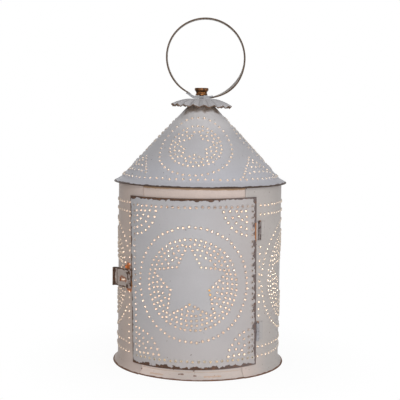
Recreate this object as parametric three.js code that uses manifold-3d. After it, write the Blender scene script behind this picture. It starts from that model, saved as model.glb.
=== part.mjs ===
// Punched tin lantern: a round body of sheet with a curved hinged door, a conical roof, a fluted
// collar, a strip carrying ring and an electric candle inside. Millimetres, +Z up. The floor is at
// z = 0, the lantern's axis is at x = y = 0 and the door faces -Y. An azimuth is measured in
// degrees round the axis from the middle of the door, positive towards +X.

import * as THREE from 'three';
import { mergeVertices } from 'three/addons/utils/BufferGeometryUtils.js';
import Module from 'manifold-3d';

const wasm = await Module();
wasm.setup();

// Sheet and clearances
const sheet = 0.6;
const seatGap = 0.3;
const pinGap = 0.25;
const facetAngle = 7.5;

// Body: a wrapper open at the front, wider behind the door, with a header and a sill strip lapped
// behind its edges
const bodyRadius = 85;
const bodyHeight = 191.6;
const footRadius = 90;
const footHeight = 8;
const openingWidth = 108;
const windowWidth = 121;
const stripLap = 8;
const headerDepth = 22;
const sillHeight = 20.5;
const panFlange = 6;

// Roof
const brimOverhang = 5;
const brimSlope = 0.6;
const kneeInset = 3;
const roofRise = 79.8;
const roofTopRadius = 7.6;
const roofSkin = 0.85;

// Fluted collar
const collarFlatRadius = 12;
const collarRadius = 31;
const collarDrop = 7.6;
const fluteCount = 18;
const fluteDepth = 1.8;

// Stud and nuts that clamp the collar and the ring to the roof
const studRadius = 2.4;
const studTail = 4;
const studTip = 0.7;
const roofWasherRadius = 6;
const roofWasherThickness = 1.2;
const lockNutFlats = 9;
const lockNutHeight = 2.6;
const finialHeight = 7.9;
const finialFlangeRadius = 7.25;
const finialFlangeHeight = 2.7;
const finialWaistRadius = 5.65;
const finialFootRadius = 6.4;

// Carrying ring, a strip bent round with its ends lapped under the finial nut
const ringRadius = 40.75;
const ringLean = 3.4;
const ringFlat = 7;
const ringWidth = 12;
const ringThickness = 1.3;
const ringPlyGap = 0.2;
const ringLap = 12;
const ringStepAngle = 25;

// Door
const doorStandOff = 2;
const doorWidth = 142;
const doorBottom = 11.7;
const doorHeadroom = 12.9;
const hemWidth = 6;

// Punched pattern of the door: a blank star in a field of holes, two rings, corner fans and a border
const punchRadius = 1;
const punchSides = 4;
const punchPitch = 7.5;
const outerRingRadius = 56.9;
const starRingRadius = 44.9;
const starPoints = 5;
const starNotchRadius = 20.4;
const fieldArcRadius = 38.5;
const fanRadii = [8.5, 16, 24];
const borderInset = 8.1;

// Door hinges
const hingeHeight = 18.5;
const hingeInset = 32.8;
const barrelRadius = 1.7;
const hingePinRadius = 0.8;
const pinHeadRadius = 1.35;
const pinHeadHeight = 0.8;
const knuckleGap = 0.3;
const leafThickness = 0.6;
const leafWidth = 9;

// Hasp and staple
const haspHeight = 18.8;
const haspDrop = 1.5;
const haspLength = 21;
const haspThickness = 1;
const haspCurlRadius = 2.2;
const slotStart = 4.4;
const slotLength = 10.4;
const slotWidth = 3.8;
const stapleSetback = 1.2;
const stapleWidth = 6;
const stapleWire = 1.6;
const stapleProud = 2.4;
const stapleTail = 3;

// Electric candle
const bracketLength = 62;
const bracketWidth = 16;
const bracketFoot = 12;
const bracketRise = 9;
const bracketThickness = 1.2;
const nippleRadius = 4.8;
const nippleBore = 3.4;
const nippleReach = 5;
const nippleNutFlats = 14;
const nippleNutHeight = 3;
const socketRadius = 8.6;
const socketHeight = 46;
const socketFloor = 7;
const sleeveWall = 1.6;
const sleeveOverSocket = 2;
const bulbCapRadius = 6;
const bulbCapHeight = 26;
const bulbCapTipRadius = 2.6;
const bulbCapTipHeight = 4;
const bulbRadius = 15;
const bulbHeight = 72;
const bulbBellyHeight = 19;
const bulbNeckRadius = 6.6;
const glassWall = 0.8;
const stemRadius = 1.8;
const stemHeight = 22;
const filamentWire = 0.45;
const filamentSpread = 4;
const filamentRise = 14;

// Cord inlet low in the rear wall
const inletHeight = 13;
const inletBore = 2.6;
const inletNeckRadius = 3.2;
const inletFlangeRadius = 4.6;
const inletFlangeThickness = 1.4;

// Places worked out from the sizes above
const degree = Math.PI / 180;
const arcDegrees = (length, radius) => length / radius / degree;
const doorRadius = bodyRadius + doorStandOff;
const doorTop = bodyHeight - doorHeadroom;
const doorHalf = arcDegrees(doorWidth / 2, doorRadius);
const openingHalf = arcDegrees(openingWidth / 2, bodyRadius);
const windowHalf = arcDegrees(windowWidth / 2, bodyRadius);
const lapHalf = openingHalf + arcDegrees(stripLap, bodyRadius);
const stripRadius = bodyRadius - sheet - seatGap;
const panRadius = stripRadius - sheet - seatGap;
const pivotRadius = bodyRadius + seatGap + barrelRadius;
const pivotAzimuth = doorHalf + arcDegrees(barrelRadius + seatGap, pivotRadius);
const hingeHeights = { upper: doorTop - hingeInset, lower: doorBottom + hingeInset };
const doorLeafRadius = doorRadius - sheet - seatGap;
const haspCentre = (doorBottom + doorTop) / 2 - haspDrop;
const haspUnder = pivotRadius + barrelRadius - haspThickness;
const stapleReach = slotStart + stapleSetback + stapleWidth / 2;
const stapleAzimuth = -pivotAzimuth - Math.atan2(stapleReach, haspUnder) / degree;
const stapleTop = Math.hypot(stapleReach, haspUnder + haspThickness) + stapleProud;
const brimRadius = bodyRadius + brimOverhang;
const kneeRadius = bodyRadius - kneeInset;
const kneeZ = bodyHeight + seatGap + roofSkin + brimSlope * kneeInset;
const brimZ = kneeZ - brimSlope * (kneeInset + brimOverhang);
const roofTopZ = kneeZ + roofRise;
const collarTopZ = roofTopZ + seatGap + sheet;
const ringSeatZ = collarTopZ + seatGap;
const finialZ = ringSeatZ + 2 * ringThickness + ringPlyGap + seatGap;
const studHole = studRadius + pinGap;
const washerZ = roofTopZ - roofSkin - seatGap - roofWasherThickness;
const lockNutZ = washerZ - seatGap - lockNutHeight;
const bracketZ = sheet + seatGap;
const bridgeTopZ = bracketZ + bracketRise;
const socketZ = bridgeTopZ + seatGap;
const socketTopZ = socketZ + socketHeight;
const sleeveRadius = socketRadius + seatGap + sleeveWall;
const sleeveTopZ = socketTopZ + sleeveOverSocket;
const bulbZ = sleeveTopZ + seatGap;
const bulbCapZ = bulbZ - seatGap - bulbCapHeight;

// Shape helpers
const point = (x, y) => new THREE.Vector2(x, y);
const segmentsRound = 360 / facetAngle;

/** Turns a closed geometry into a solid that can be joined and cut. */
function solid(geometry) {
  const bare = geometry.clone();
  bare.deleteAttribute('normal');
  bare.deleteAttribute('uv');
  const merged = mergeVertices(bare, 1e-4);
  const corners = merged.index.array;
  const kept = [];
  for (let i = 0; i < corners.length; i += 3) {
    const [a, b, c] = [corners[i], corners[i + 1], corners[i + 2]];
    if (a !== b && b !== c && c !== a) kept.push(a, b, c);
  }
  return new wasm.Manifold(new wasm.Mesh({
    numProp: 3,
    vertProperties: new Float32Array(merged.attributes.position.array),
    triVerts: new Uint32Array(kept),
  }));
}

/** Turns a solid back into a geometry with flat facets. */
function geometryOf(body) {
  const mesh = body.getMesh();
  const geometry = new THREE.BufferGeometry();
  geometry.setAttribute('position', new THREE.BufferAttribute(mesh.vertProperties, 3));
  geometry.setIndex(new THREE.BufferAttribute(mesh.triVerts, 1));
  geometry.computeVertexNormals();
  return geometry;
}

/** Turns an outline of (radius, height) points, anticlockwise, round the Z axis. */
function revolve(outline, sides = segmentsRound) {
  const closed = outline[0].x > 0 ? [...outline, outline[0]] : outline;
  return solid(new THREE.LatheGeometry(closed, sides).rotateX(Math.PI / 2));
}

/** Extrudes a flat shape along Z from one height to another. */
function prism(shape, low, high, curveSegments = 8) {
  const options = { depth: high - low, bevelEnabled: false, curveSegments };
  return solid(new THREE.ExtrudeGeometry(shape, options).translate(0, 0, low));
}

/** A curved plate between two radii and two azimuths. */
function curvedPlate(inner, outer, from, to, low, high) {
  const start = (from - 90) * degree;
  const end = (to - 90) * degree;
  const shape = new THREE.Shape();
  shape.absarc(0, 0, outer, start, end, false);
  shape.absarc(0, 0, inner, end, start, true);
  return prism(shape, low, high, Math.ceil((to - from) / facetAngle / 2));
}

/** A pie slice of space that reaches past the whole lantern. */
function slice(half, low, high) {
  const reach = 2 * footRadius;
  const shape = new THREE.Shape();
  shape.absarc(0, 0, reach, (-half - 90) * degree, (half - 90) * degree, false);
  shape.lineTo(0, 0);
  return prism(shape, low, high);
}

/** An upright round rod. */
function rod(radius, low, high, x = 0, y = 0, sides = 16) {
  const bar = new THREE.CylinderGeometry(radius, radius, high - low, sides).rotateX(Math.PI / 2);
  return solid(bar.translate(x, y, (low + high) / 2));
}

/** A block between two corners. */
function block(x0, y0, z0, x1, y1, z1) {
  const box = new THREE.BoxGeometry(x1 - x0, y1 - y0, z1 - z0);
  return solid(box.translate((x0 + x1) / 2, (y0 + y1) / 2, (z0 + z1) / 2));
}

// Finishes
const finish = (color, roughness, metalness) => ({ color, roughness, metalness });
const paint = finish(0xb4b1b4, 0.62, 0.1);
const creamPaint = finish(0xc6b8ae, 0.62, 0.1);
const wornSteel = finish(0x6a5a50, 0.55, 0.7);
const agedBrass = finish(0x7a5a38, 0.4, 0.9);
const plainSteel = finish(0x9a9a98, 0.45, 0.9);
const ivoryTube = finish(0xe8dcc0, 0.6, 0);
const darkPlastic = finish(0x2c2a28, 0.5, 0);
const clearGlass = finish(0xfff2d8, 0.08, 0);
const rubber = finish(0x1e1d1c, 0.8, 0);

const lantern = new THREE.Group();

/** Adds one named piece to the lantern or to a group of it. */
function piece(name, body, look, parent = lantern) {
  const mesh = new THREE.Mesh(geometryOf(body), new THREE.MeshStandardMaterial(look));
  mesh.name = name;
  parent.add(mesh);
}

/** A group turned to an azimuth, in which -Y points out of the lantern. */
function station(azimuth, z) {
  const group = new THREE.Group();
  group.rotation.z = azimuth * degree;
  group.position.z = z;
  lantern.add(group);
  return group;
}

// Body

/** A wall that flares out to the foot, open at both ends, with its outer face at a radius. */
function flaredWall(radius, top) {
  const flare = footRadius - bodyRadius;
  const lip = radius + flare;
  const outerFlare = new THREE.QuadraticBezierCurve(
    point(lip, sheet), point(radius, 2 * sheet + flare / 4), point(radius, footHeight));
  const innerFlare = new THREE.QuadraticBezierCurve(
    point(radius - sheet, footHeight), point(radius - sheet, sheet + flare / 4), point(lip - sheet / 2, 0));
  const outer = [...outerFlare.getPoints(3), point(radius, top)];
  const inner = [point(radius - sheet, top), ...innerFlare.getPoints(3)];
  return revolve([...outer, ...inner]);
}

/** The holes in the wrapper for the two legs of the staple, in the staple's own place. */
function stapleLegHoles() {
  const half = stapleWire / 2 + seatGap;
  const reach = stapleWidth / 2 - stapleWire / 2;
  const legHole = (x) => block(x - half, -bodyRadius - footHeight, -half,
    x + half, -bodyRadius + footHeight, half);
  return legHole(-reach).add(legHole(reach)).rotate([0, 0, stapleAzimuth])
    .translate([0, 0, haspCentre]);
}

function bodyShell() {
  const wrapper = flaredWall(bodyRadius, bodyHeight)
    .subtract(slice(openingHalf, -1, bodyHeight + 1))
    .subtract(slice(windowHalf, sillHeight, bodyHeight - headerDepth));
  const inletRadius = inletNeckRadius + seatGap;
  const inletHole = new THREE.CylinderGeometry(inletRadius, inletRadius, 2 * footHeight, 16);
  return wrapper.subtract(stapleLegHoles())
    .subtract(solid(inletHole.translate(0, bodyRadius, inletHeight)));
}

function headerBand() {
  return curvedPlate(stripRadius - sheet, stripRadius, -lapHalf, lapHalf,
    bodyHeight - headerDepth, bodyHeight);
}

function sillBand() {
  const betweenEdges = slice(openingHalf - arcDegrees(seatGap, bodyRadius), -1, bodyHeight);
  const aboveFlare = slice(lapHalf, footHeight + seatGap, bodyHeight);
  return flaredWall(stripRadius, sillHeight).intersect(betweenEdges.add(aboveFlare));
}

function basePan() {
  return revolve([
    point(0, 0), point(panRadius, 0), point(panRadius, panFlange),
    point(panRadius - sheet, panFlange), point(panRadius - sheet, sheet), point(0, sheet),
  ]);
}

piece('body_shell', bodyShell(), paint);
piece('header_band', headerBand(), creamPaint);
piece('sill_band', sillBand(), creamPaint);
piece('base_pan', basePan(), paint);

// Roof

function roofCone() {
  const under = (p) => point(p.x, p.y - roofSkin);
  const outer = [
    point(brimRadius, brimZ), point(kneeRadius, kneeZ),
    point(roofTopRadius, roofTopZ), point(studHole, roofTopZ),
  ];
  return revolve([...outer, ...outer.map(under).reverse()]);
}

/** A disc turned down at its edge, then pleated into flutes that deepen outwards. */
function flutedCollar() {
  const across = collarRadius - collarFlatRadius;
  const share = (radius) => Math.max(0, (radius - collarFlatRadius) / across);
  const top = [
    point(collarRadius, collarTopZ - collarDrop), point(collarFlatRadius, collarTopZ),
    point(studHole, collarTopZ),
  ];
  const bottom = top.map((p) => point(p.x, p.y - sheet)).reverse();
  const disc = new THREE.LatheGeometry([...top, ...bottom, top[0]], 4 * fluteCount);
  disc.rotateX(Math.PI / 2);
  const place = disc.attributes.position;
  for (let i = 0; i < place.count; i += 1) {
    const radius = Math.hypot(place.getX(i), place.getY(i));
    const wave = Math.cos(fluteCount * Math.atan2(place.getY(i), place.getX(i)));
    place.setZ(i, place.getZ(i) + fluteDepth * share(radius) * wave);
  }
  return solid(disc);
}

function topStud() {
  return rod(studRadius, lockNutZ - studTail, finialZ + finialHeight + studTip);
}

function roofWasher() {
  return rod(roofWasherRadius, washerZ, washerZ + roofWasherThickness, 0, 0, 24)
    .subtract(rod(studHole, washerZ - 1, washerZ + roofWasherThickness + 1));
}

/** A hexagonal nut with a plain hole, given its width across flats. */
function hexNut(flats, hole, low, high) {
  return rod(flats / Math.sqrt(3), low, high, 0, 0, 6).subtract(rod(hole, low - 1, high + 1));
}

/** The spool-shaped nut that shows above the ring. */
function finialNut() {
  const top = finialZ + finialHeight;
  const underFlange = top - finialFlangeHeight;
  const waist = new THREE.QuadraticBezierCurve(
    point(finialFootRadius, finialZ), point(finialWaistRadius, (finialZ + underFlange) / 2),
    point(finialFlangeRadius, underFlange));
  const crown = sheet;
  return revolve([
    ...waist.getPoints(4), point(finialFlangeRadius, top - crown),
    point(finialFlangeRadius - crown, top), point(studHole, top), point(studHole, finialZ),
  ], 24);
}

piece('roof_cone', roofCone(), paint);
piece('fluted_collar', flutedCollar(), paint);
piece('top_stud', topStud(), agedBrass);
piece('roof_washer', roofWasher(), plainSteel);
piece('roof_lock_nut', hexNut(lockNutFlats, studHole, lockNutZ, lockNutZ + lockNutHeight), agedBrass);
piece('finial_nut', finialNut(), agedBrass);

// Carrying ring

/** The middle of the strip: once round from the lower lapped end to the upper one. */
class RingPath extends THREE.Curve {
  constructor() {
    super();
    this.seat = ringSeatZ + ringThickness / 2;
    this.start = Math.asin((-ringLap - ringLean) / ringRadius);
    this.end = 2 * Math.PI + Math.asin((ringLap - ringLean) / ringRadius);
  }

  getPoint(t, target = new THREE.Vector3()) {
    const { lerp, smoothstep } = THREE.MathUtils;
    const angle = lerp(this.start, this.end, t);
    const lapStart = 2 * Math.PI + this.start;
    const step = ringStepAngle * degree;
    const lift = (ringThickness + ringPlyGap) * smoothstep(angle, lapStart - step, lapStart - step / 5);
    const radius = ringRadius - lift;
    const x = ringLean + radius * Math.sin(angle);
    const rise = ringRadius - lift - radius * Math.cos(angle);
    const free = Math.cos(angle) > 0 ? smoothstep(Math.abs(x), ringFlat, ringFlat + ringLap / 2) : 1;
    return target.set(x, 0, this.seat + lift + rise * free);
  }
}

function carryRing() {
  const edge = ringThickness / 3;
  const [w, h] = [ringWidth / 2, ringThickness / 2];
  const section = new THREE.Shape([
    point(edge - w, -h), point(w - edge, -h), point(w, edge - h), point(w, h - edge),
    point(w - edge, h), point(edge - w, h), point(-w, h - edge), point(-w, edge - h),
  ]);
  const options = { steps: 56, extrudePath: new RingPath(), bevelEnabled: false };
  return solid(new THREE.ExtrudeGeometry(section, options))
    .subtract(rod(studHole, ringSeatZ - 1, finialZ + 1));
}

piece('carry_ring', carryRing(), paint);

// Door

/** A space just under the door's skin at one of its side edges, for a leaf to lie in. */
function leafPocket(side, z, height) {
  const depth = arcDegrees(leafWidth + barrelRadius, doorRadius);
  const [from, to] = side > 0 ? [doorHalf - depth, doorHalf + 1] : [-doorHalf - 1, depth - doorHalf];
  const half = height / 2 + seatGap;
  return curvedPlate(bodyRadius, doorRadius - sheet, from, to, z - half, z + half);
}

/** Evenly spaced places along a flat path, about the punch pitch apart. */
function placesAlong(path) {
  const places = path.getSpacedPoints(Math.max(1, Math.round(path.getLength() / punchPitch)));
  const closed = places[0].distanceTo(places[places.length - 1]) < punchRadius;
  return closed ? places.slice(1) : places;
}

/** An arc of places about a flat centre, between two angles in degrees. */
function placesOnArc(x, y, radius, from = 0, to = 360) {
  return placesAlong(new THREE.Path().absarc(x, y, radius, from * degree, to * degree, false));
}

/** The star's outline about the origin, point up, with its tips on the inner ring. */
function starOutline() {
  const corner = (i) => {
    const radius = i % 2 ? starNotchRadius : starRingRadius - punchPitch;
    const angle = (i / starPoints + 1 / 2) * Math.PI;
    return point(radius * Math.cos(angle), radius * Math.sin(angle));
  };
  return Array.from({ length: 2 * starPoints + 1 }, (_, i) => corner(i));
}

/** The places of the holes on the flat door, from its middle, before it is rolled. */
function doorPattern() {
  const across = doorWidth / 2 - borderInset;
  const up = (doorTop - doorBottom) / 2 - borderInset;
  const places = [
    ...placesOnArc(0, 0, outerRingRadius), ...placesOnArc(0, 0, starRingRadius),
    ...placesAlong(new THREE.Path(starOutline())),
  ];
  const notch = 180 / starPoints;
  for (let i = 0; i < starPoints; i += 1) {
    const middle = 90 + notch * (2 * i + 1);
    places.push(...placesOnArc(0, 0, fieldArcRadius, middle - notch / 2, middle + notch / 2));
  }
  for (const side of [-1, 1]) {
    places.push(...placesAlong(new THREE.LineCurve(point(-across, side * up), point(across, side * up))));
    const reach = up - punchPitch;
    const column = new THREE.LineCurve(point(side * across, -reach), point(side * across, reach));
    places.push(...placesAlong(column));
    for (const level of [-1, 1]) {
      for (const radius of fanRadii) {
        const middle = Math.atan2(-level, -side) / degree;
        const half = 45 - arcDegrees(punchPitch, radius) / 2;
        places.push(...placesOnArc(side * across, level * up, radius, middle - half, middle + half));
      }
    }
  }
  return places;
}

/** One punch through the rolled door for each place of the flat pattern. */
function doorPunches() {
  const middle = (doorBottom + doorTop) / 2;
  const punch = new THREE.CylinderGeometry(punchRadius, punchRadius, 4 * doorStandOff, punchSides);
  punch.translate(0, -doorRadius, 0);
  return wasm.Manifold.union(doorPattern().map((place) => solid(punch)
    .rotate([0, 0, arcDegrees(place.x, doorRadius)]).translate([0, 0, middle + place.y])));
}

function doorPanel() {
  const hem = arcDegrees(hemWidth, doorRadius);
  const plies = curvedPlate(doorRadius - 2 * sheet, doorRadius, -doorHalf, doorHalf, doorBottom, doorTop);
  const field = curvedPlate(bodyRadius, doorRadius - sheet, hem - doorHalf, doorHalf - hem,
    doorBottom + hemWidth, doorTop - hemWidth);
  return plies.subtract(field)
    .subtract(leafPocket(1, hingeHeights.upper, hingeHeight))
    .subtract(leafPocket(1, hingeHeights.lower, hingeHeight))
    .subtract(leafPocket(-1, haspCentre, haspHeight))
    .subtract(doorPunches());
}

piece('door_panel', doorPanel(), paint);

// Hinges. A hinge has three knuckles on one pin: the outer two on one leaf, the middle on the other.

const pivotY = -pivotRadius;
const pinHole = hingePinRadius + pinGap;

/** The heights of a hinge's outer or middle knuckles, about its own centre. */
function knuckleSpans(height, outer) {
  const edge = height / 6 + knuckleGap / 2;
  const inner = height / 6 - knuckleGap / 2;
  return outer ? [[-height / 2, -edge], [edge, height / 2]] : [[-inner, inner]];
}

/** Rolls the knuckles onto a leaf, clears the other leaf's knuckles and bores the pin hole. */
function withKnuckles(leaf, height, outer) {
  let body = leaf;
  const reach = knuckleGap;
  for (const [low, high] of knuckleSpans(height, !outer)) {
    const sweep = rod(barrelRadius + seatGap, low - reach, high + reach, 0, pivotY, 16);
    body = body.subtract(sweep);
  }
  for (const [low, high] of knuckleSpans(height, outer)) {
    body = body.add(rod(barrelRadius, low, high, 0, pivotY));
  }
  return body.subtract(rod(pinHole, -height, height, 0, pivotY, 12));
}

/** A leaf that follows the curve of the door or the body, to one side of its pin. */
function curvedLeaf(inner, side, height, outer) {
  const turn = arcDegrees(leafWidth, pivotRadius);
  const [from, to] = side > 0 ? [0, turn] : [-turn, 0];
  const leaf = curvedPlate(inner, inner + leafThickness, from, to, -height / 2, height / 2);
  return withKnuckles(leaf, height, outer);
}

/** A pin with a small head that rests on the top knuckle. */
function hingePin(height) {
  const top = height / 2 + seatGap;
  const head = rod(pinHeadRadius, top, top + pinHeadHeight, 0, pivotY, 12);
  return rod(hingePinRadius, -height / 2, top + pinHeadHeight / 2, 0, pivotY, 12).add(head);
}

for (const [name, z] of Object.entries(hingeHeights)) {
  const hinge = station(pivotAzimuth, z);
  const bodyLeaf = curvedLeaf(bodyRadius + seatGap, 1, hingeHeight, true);
  piece(`${name}_hinge_body_leaf`, bodyLeaf, wornSteel, hinge);
  const doorLeaf = curvedLeaf(doorLeafRadius - leafThickness, -1, hingeHeight, false);
  piece(`${name}_hinge_door_leaf`, doorLeaf, wornSteel, hinge);
  piece(`${name}_hinge_pin`, hingePin(hingeHeight), plainSteel, hinge);
}

// Hasp and staple

/** A flat plate from the pin to a finger curl at its free end, with a slot for the staple. */
function haspPlate() {
  const under = -haspUnder;
  const outside = under - haspThickness;
  const curlY = outside + haspThickness - haspCurlRadius;
  const side = new THREE.Shape();
  side.moveTo(0, under);
  side.lineTo(0, outside);
  side.lineTo(-haspLength, outside);
  side.absarc(-haspLength, curlY, haspCurlRadius - haspThickness, 90 * degree, 200 * degree, false);
  side.absarc(-haspLength, curlY, haspCurlRadius, 200 * degree, 90 * degree, true);
  const plate = prism(side, -haspHeight / 2, haspHeight / 2, 4);

  const half = slotWidth / 2;
  const slot = new THREE.Shape();
  slot.absarc(-slotStart - half, 0, half, -90 * degree, 90 * degree, false);
  slot.absarc(-slotStart - slotLength + half, 0, half, 90 * degree, 270 * degree, false);
  const cutter = prism(slot, 0, 2 * haspCurlRadius, 6).rotate([90, 0, 0])
    .translate([0, under + haspCurlRadius, 0]);
  return withKnuckles(plate.subtract(cutter), haspHeight, true);
}

/** A loop of square wire with its two legs through the wrapper. */
function latchStaple() {
  const half = stapleWidth / 2;
  const inside = half - stapleWire;
  const foot = stapleTail - bodyRadius;
  const crown = half - stapleTop;
  const loop = new THREE.Shape();
  loop.absarc(0, crown, half, 180 * degree, 360 * degree, false);
  loop.lineTo(half, foot);
  loop.lineTo(inside, foot);
  loop.absarc(0, crown, inside, 360 * degree, 180 * degree, true);
  loop.lineTo(-inside, foot);
  loop.lineTo(-half, foot);
  return prism(loop, -stapleWire / 2, stapleWire / 2, 5);
}

const hasp = station(-pivotAzimuth, haspCentre);
piece('hasp_plate', haspPlate(), wornSteel, hasp);
piece('hasp_hinge_leaf', curvedLeaf(doorLeafRadius - leafThickness, 1, haspHeight, false), wornSteel, hasp);
piece('hasp_pin', hingePin(haspHeight), plainSteel, hasp);
piece('latch_staple', latchStaple(), agedBrass, station(stapleAzimuth, haspCentre));

// Electric candle

/** A strap bent into a bridge, its two feet on the base pan. */
function lampBracket() {
  const half = bracketLength / 2;
  const top = bracketZ + bracketRise;
  const t = bracketThickness;
  const shoulder = half - bracketFoot;
  const right = [
    point(half, bracketZ), point(half, bracketZ + t), point(shoulder + t, bracketZ + t),
    point(shoulder + t, top),
  ];
  const rightUnder = [point(shoulder, top - t), point(shoulder, bracketZ)];
  const mirrored = (points) => points.map((p) => point(-p.x, p.y)).reverse();
  const outline = new THREE.Shape([...right, ...mirrored(right), ...mirrored(rightUnder), ...rightUnder]);
  const strap = prism(outline, -bracketWidth / 2, bracketWidth / 2).rotate([90, 0, 0]);
  return strap.subtract(rod(nippleRadius + pinGap, 0, top + 1));
}

function lampNipple() {
  const low = bridgeTopZ - bracketThickness - nippleNutHeight - seatGap;
  const high = socketZ + nippleReach;
  return rod(nippleRadius, low, high).subtract(rod(nippleBore, low - 1, high + 1));
}

function nippleNut() {
  const high = bridgeTopZ - bracketThickness - seatGap;
  return hexNut(nippleNutFlats, nippleRadius + pinGap, high - nippleNutHeight, high);
}

function lampSocket() {
  const well = bulbCapRadius + pinGap;
  const floor = bulbCapZ - seatGap;
  const foot = socketZ + socketFloor;
  return revolve([
    point(nippleRadius + pinGap, socketZ), point(socketRadius, socketZ),
    point(socketRadius, socketTopZ), point(well, socketTopZ), point(well, floor),
    point(nippleBore, floor - nippleBore), point(nippleBore, foot), point(nippleRadius + pinGap, foot),
  ], 24);
}

function candleSleeve() {
  const inside = socketRadius + seatGap;
  return revolve([
    point(inside, socketZ), point(sleeveRadius, socketZ),
    point(sleeveRadius, sleeveTopZ), point(inside, sleeveTopZ),
  ], 24);
}

function bulbCap() {
  const top = bulbCapZ + bulbCapHeight;
  const tipZ = bulbCapZ + bulbCapTipHeight;
  return revolve([
    point(0, bulbCapZ), point(bulbCapTipRadius, bulbCapZ), point(bulbCapRadius, tipZ),
    point(bulbCapRadius, top), point(0, top),
  ], 20);
}

/** A flame-shaped glass shell, open at the neck. */
function bulbGlass() {
  const flame = (thinner) => {
    const radius = bulbRadius - thinner;
    const belly = bulbZ + bulbBellyHeight;
    const tip = bulbZ + bulbHeight - thinner;
    const lower = new THREE.CubicBezierCurve(
      point(bulbNeckRadius - thinner, bulbZ), point(bulbNeckRadius - thinner, bulbZ + bulbBellyHeight / 3),
      point(radius, belly - bulbBellyHeight / 2), point(radius, belly));
    const upper = new THREE.CubicBezierCurve(
      point(radius, belly), point(radius, belly + bulbBellyHeight * 0.7),
      point(radius / 6, tip - bulbBellyHeight * 0.7), point(0, tip));
    return [...lower.getPoints(4), ...upper.getPoints(5).slice(1)];
  };
  return revolve([...flame(0), ...flame(glassWall).reverse()].map((p) => point(Math.max(p.x, 0), p.y)), 16);
}

/** The glass stem with two support wires and the filament across them. */
function bulbStem() {
  const top = bulbZ + stemHeight;
  const peak = top + filamentRise;
  const wire = new THREE.CatmullRomCurve3([
    new THREE.Vector3(-stemRadius / 2, 0, top - stemRadius),
    new THREE.Vector3(-filamentSpread, 0, top + filamentRise / 2),
    new THREE.Vector3(0, 0, peak),
    new THREE.Vector3(filamentSpread, 0, top + filamentRise / 2),
    new THREE.Vector3(stemRadius / 2, 0, top - stemRadius),
  ]);
  const section = new THREE.Shape().absarc(0, 0, filamentWire, 0, 2 * Math.PI, false);
  const options = { steps: 24, extrudePath: wire, bevelEnabled: false, curveSegments: 3 };
  return rod(stemRadius, bulbZ, top, 0, 0, 12).add(solid(new THREE.ExtrudeGeometry(section, options)));
}

piece('lamp_bracket', lampBracket(), plainSteel);
piece('lamp_nipple', lampNipple(), agedBrass);
piece('nipple_nut', nippleNut(), agedBrass);
piece('lamp_socket', lampSocket(), darkPlastic);
piece('candle_sleeve', candleSleeve(), ivoryTube);
piece('bulb_cap', bulbCap(), agedBrass);
piece('bulb_glass', bulbGlass(), clearGlass);
piece('bulb_stem', bulbStem(), clearGlass);

// Cord inlet

/** A grommet with a groove that grips the edge of its hole in the wall. */
function cordGrommet() {
  const wallSag = bodyRadius - Math.sqrt(bodyRadius ** 2 - inletFlangeRadius ** 2);
  const outerFace = -bodyRadius - seatGap;
  const innerFace = -bodyRadius + sheet + wallSag + seatGap;
  const profile = [
    point(inletBore, outerFace - inletFlangeThickness),
    point(inletFlangeRadius, outerFace - inletFlangeThickness), point(inletFlangeRadius, outerFace),
    point(inletNeckRadius, outerFace), point(inletNeckRadius, innerFace),
    point(inletFlangeRadius, innerFace), point(inletFlangeRadius, innerFace + inletFlangeThickness),
    point(inletBore, innerFace + inletFlangeThickness),
  ];
  return solid(new THREE.LatheGeometry([...profile, profile[0]], 16));
}

piece('cord_grommet', cordGrommet(), rubber, station(180, inletHeight));

export default lantern;
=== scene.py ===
"""Looks of a punched tin lantern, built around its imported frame.

Sizes are millimetres, +Z is up, the lantern's axis is at x = y = 0 and its door faces -Y. An azimuth
is in degrees round the axis from the middle of the door, positive towards +X. A sheet is laid out
flat as (along, up, height above its outer face), punched, and then rolled to its place.
"""

import logging
import math
import random
from dataclasses import dataclass, field
from enum import Enum
from typing import Callable, Sequence

import bmesh
import bpy
from bmesh.types import BMEdge, BMesh, BMVert
from mathutils import Matrix, Vector
from mathutils.geometry import intersect_point_line
from mathutils.kdtree import KDTree


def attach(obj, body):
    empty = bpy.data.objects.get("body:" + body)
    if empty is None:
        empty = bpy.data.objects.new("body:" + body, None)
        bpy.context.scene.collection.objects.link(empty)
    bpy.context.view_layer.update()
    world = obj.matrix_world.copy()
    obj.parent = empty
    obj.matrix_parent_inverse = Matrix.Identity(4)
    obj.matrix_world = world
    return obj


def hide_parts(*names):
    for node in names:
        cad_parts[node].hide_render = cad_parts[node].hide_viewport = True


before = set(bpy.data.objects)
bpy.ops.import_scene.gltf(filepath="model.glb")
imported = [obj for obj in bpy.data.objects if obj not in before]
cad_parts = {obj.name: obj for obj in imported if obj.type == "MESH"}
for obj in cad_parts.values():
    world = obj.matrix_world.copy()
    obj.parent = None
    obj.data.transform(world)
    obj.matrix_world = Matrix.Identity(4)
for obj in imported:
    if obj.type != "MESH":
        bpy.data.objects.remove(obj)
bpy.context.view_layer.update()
MM = 0.001
# The vertex attribute that keeps a flat sheet's own coordinates
FLAT = "flat"
# Edges are shaded sharp and bevelled from these angles on
SHARP_ANGLE = math.radians(40)
BEVEL_ANGLE = math.radians(50)
# Vertices closer than this are one
NEAR = 1e-4
# Spans of noise that are stretched to a whole change, gently or with more contrast
GENTLE = (0.3, 0.7)
CONTRAST = (0.36, 0.64)
# Heights over a sheet at which the painted shade on a burr's skirt, a burr's tip and the inner face begin
# and are whole
BURR_SKIRT = (0.02, 0.2)
BURR_TIP = (0.22, 0.75)
INNER_FACE = (-0.1, -0.24)
# A star's points, and the angle from a point to the next notch
POINTS = 5
HALF_ARM = 180 / POINTS
# A small turn that keeps the corners of a round hole off its middle lines
HOLE_TURN = Matrix.Rotation(0.05, 4, "Z")
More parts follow.
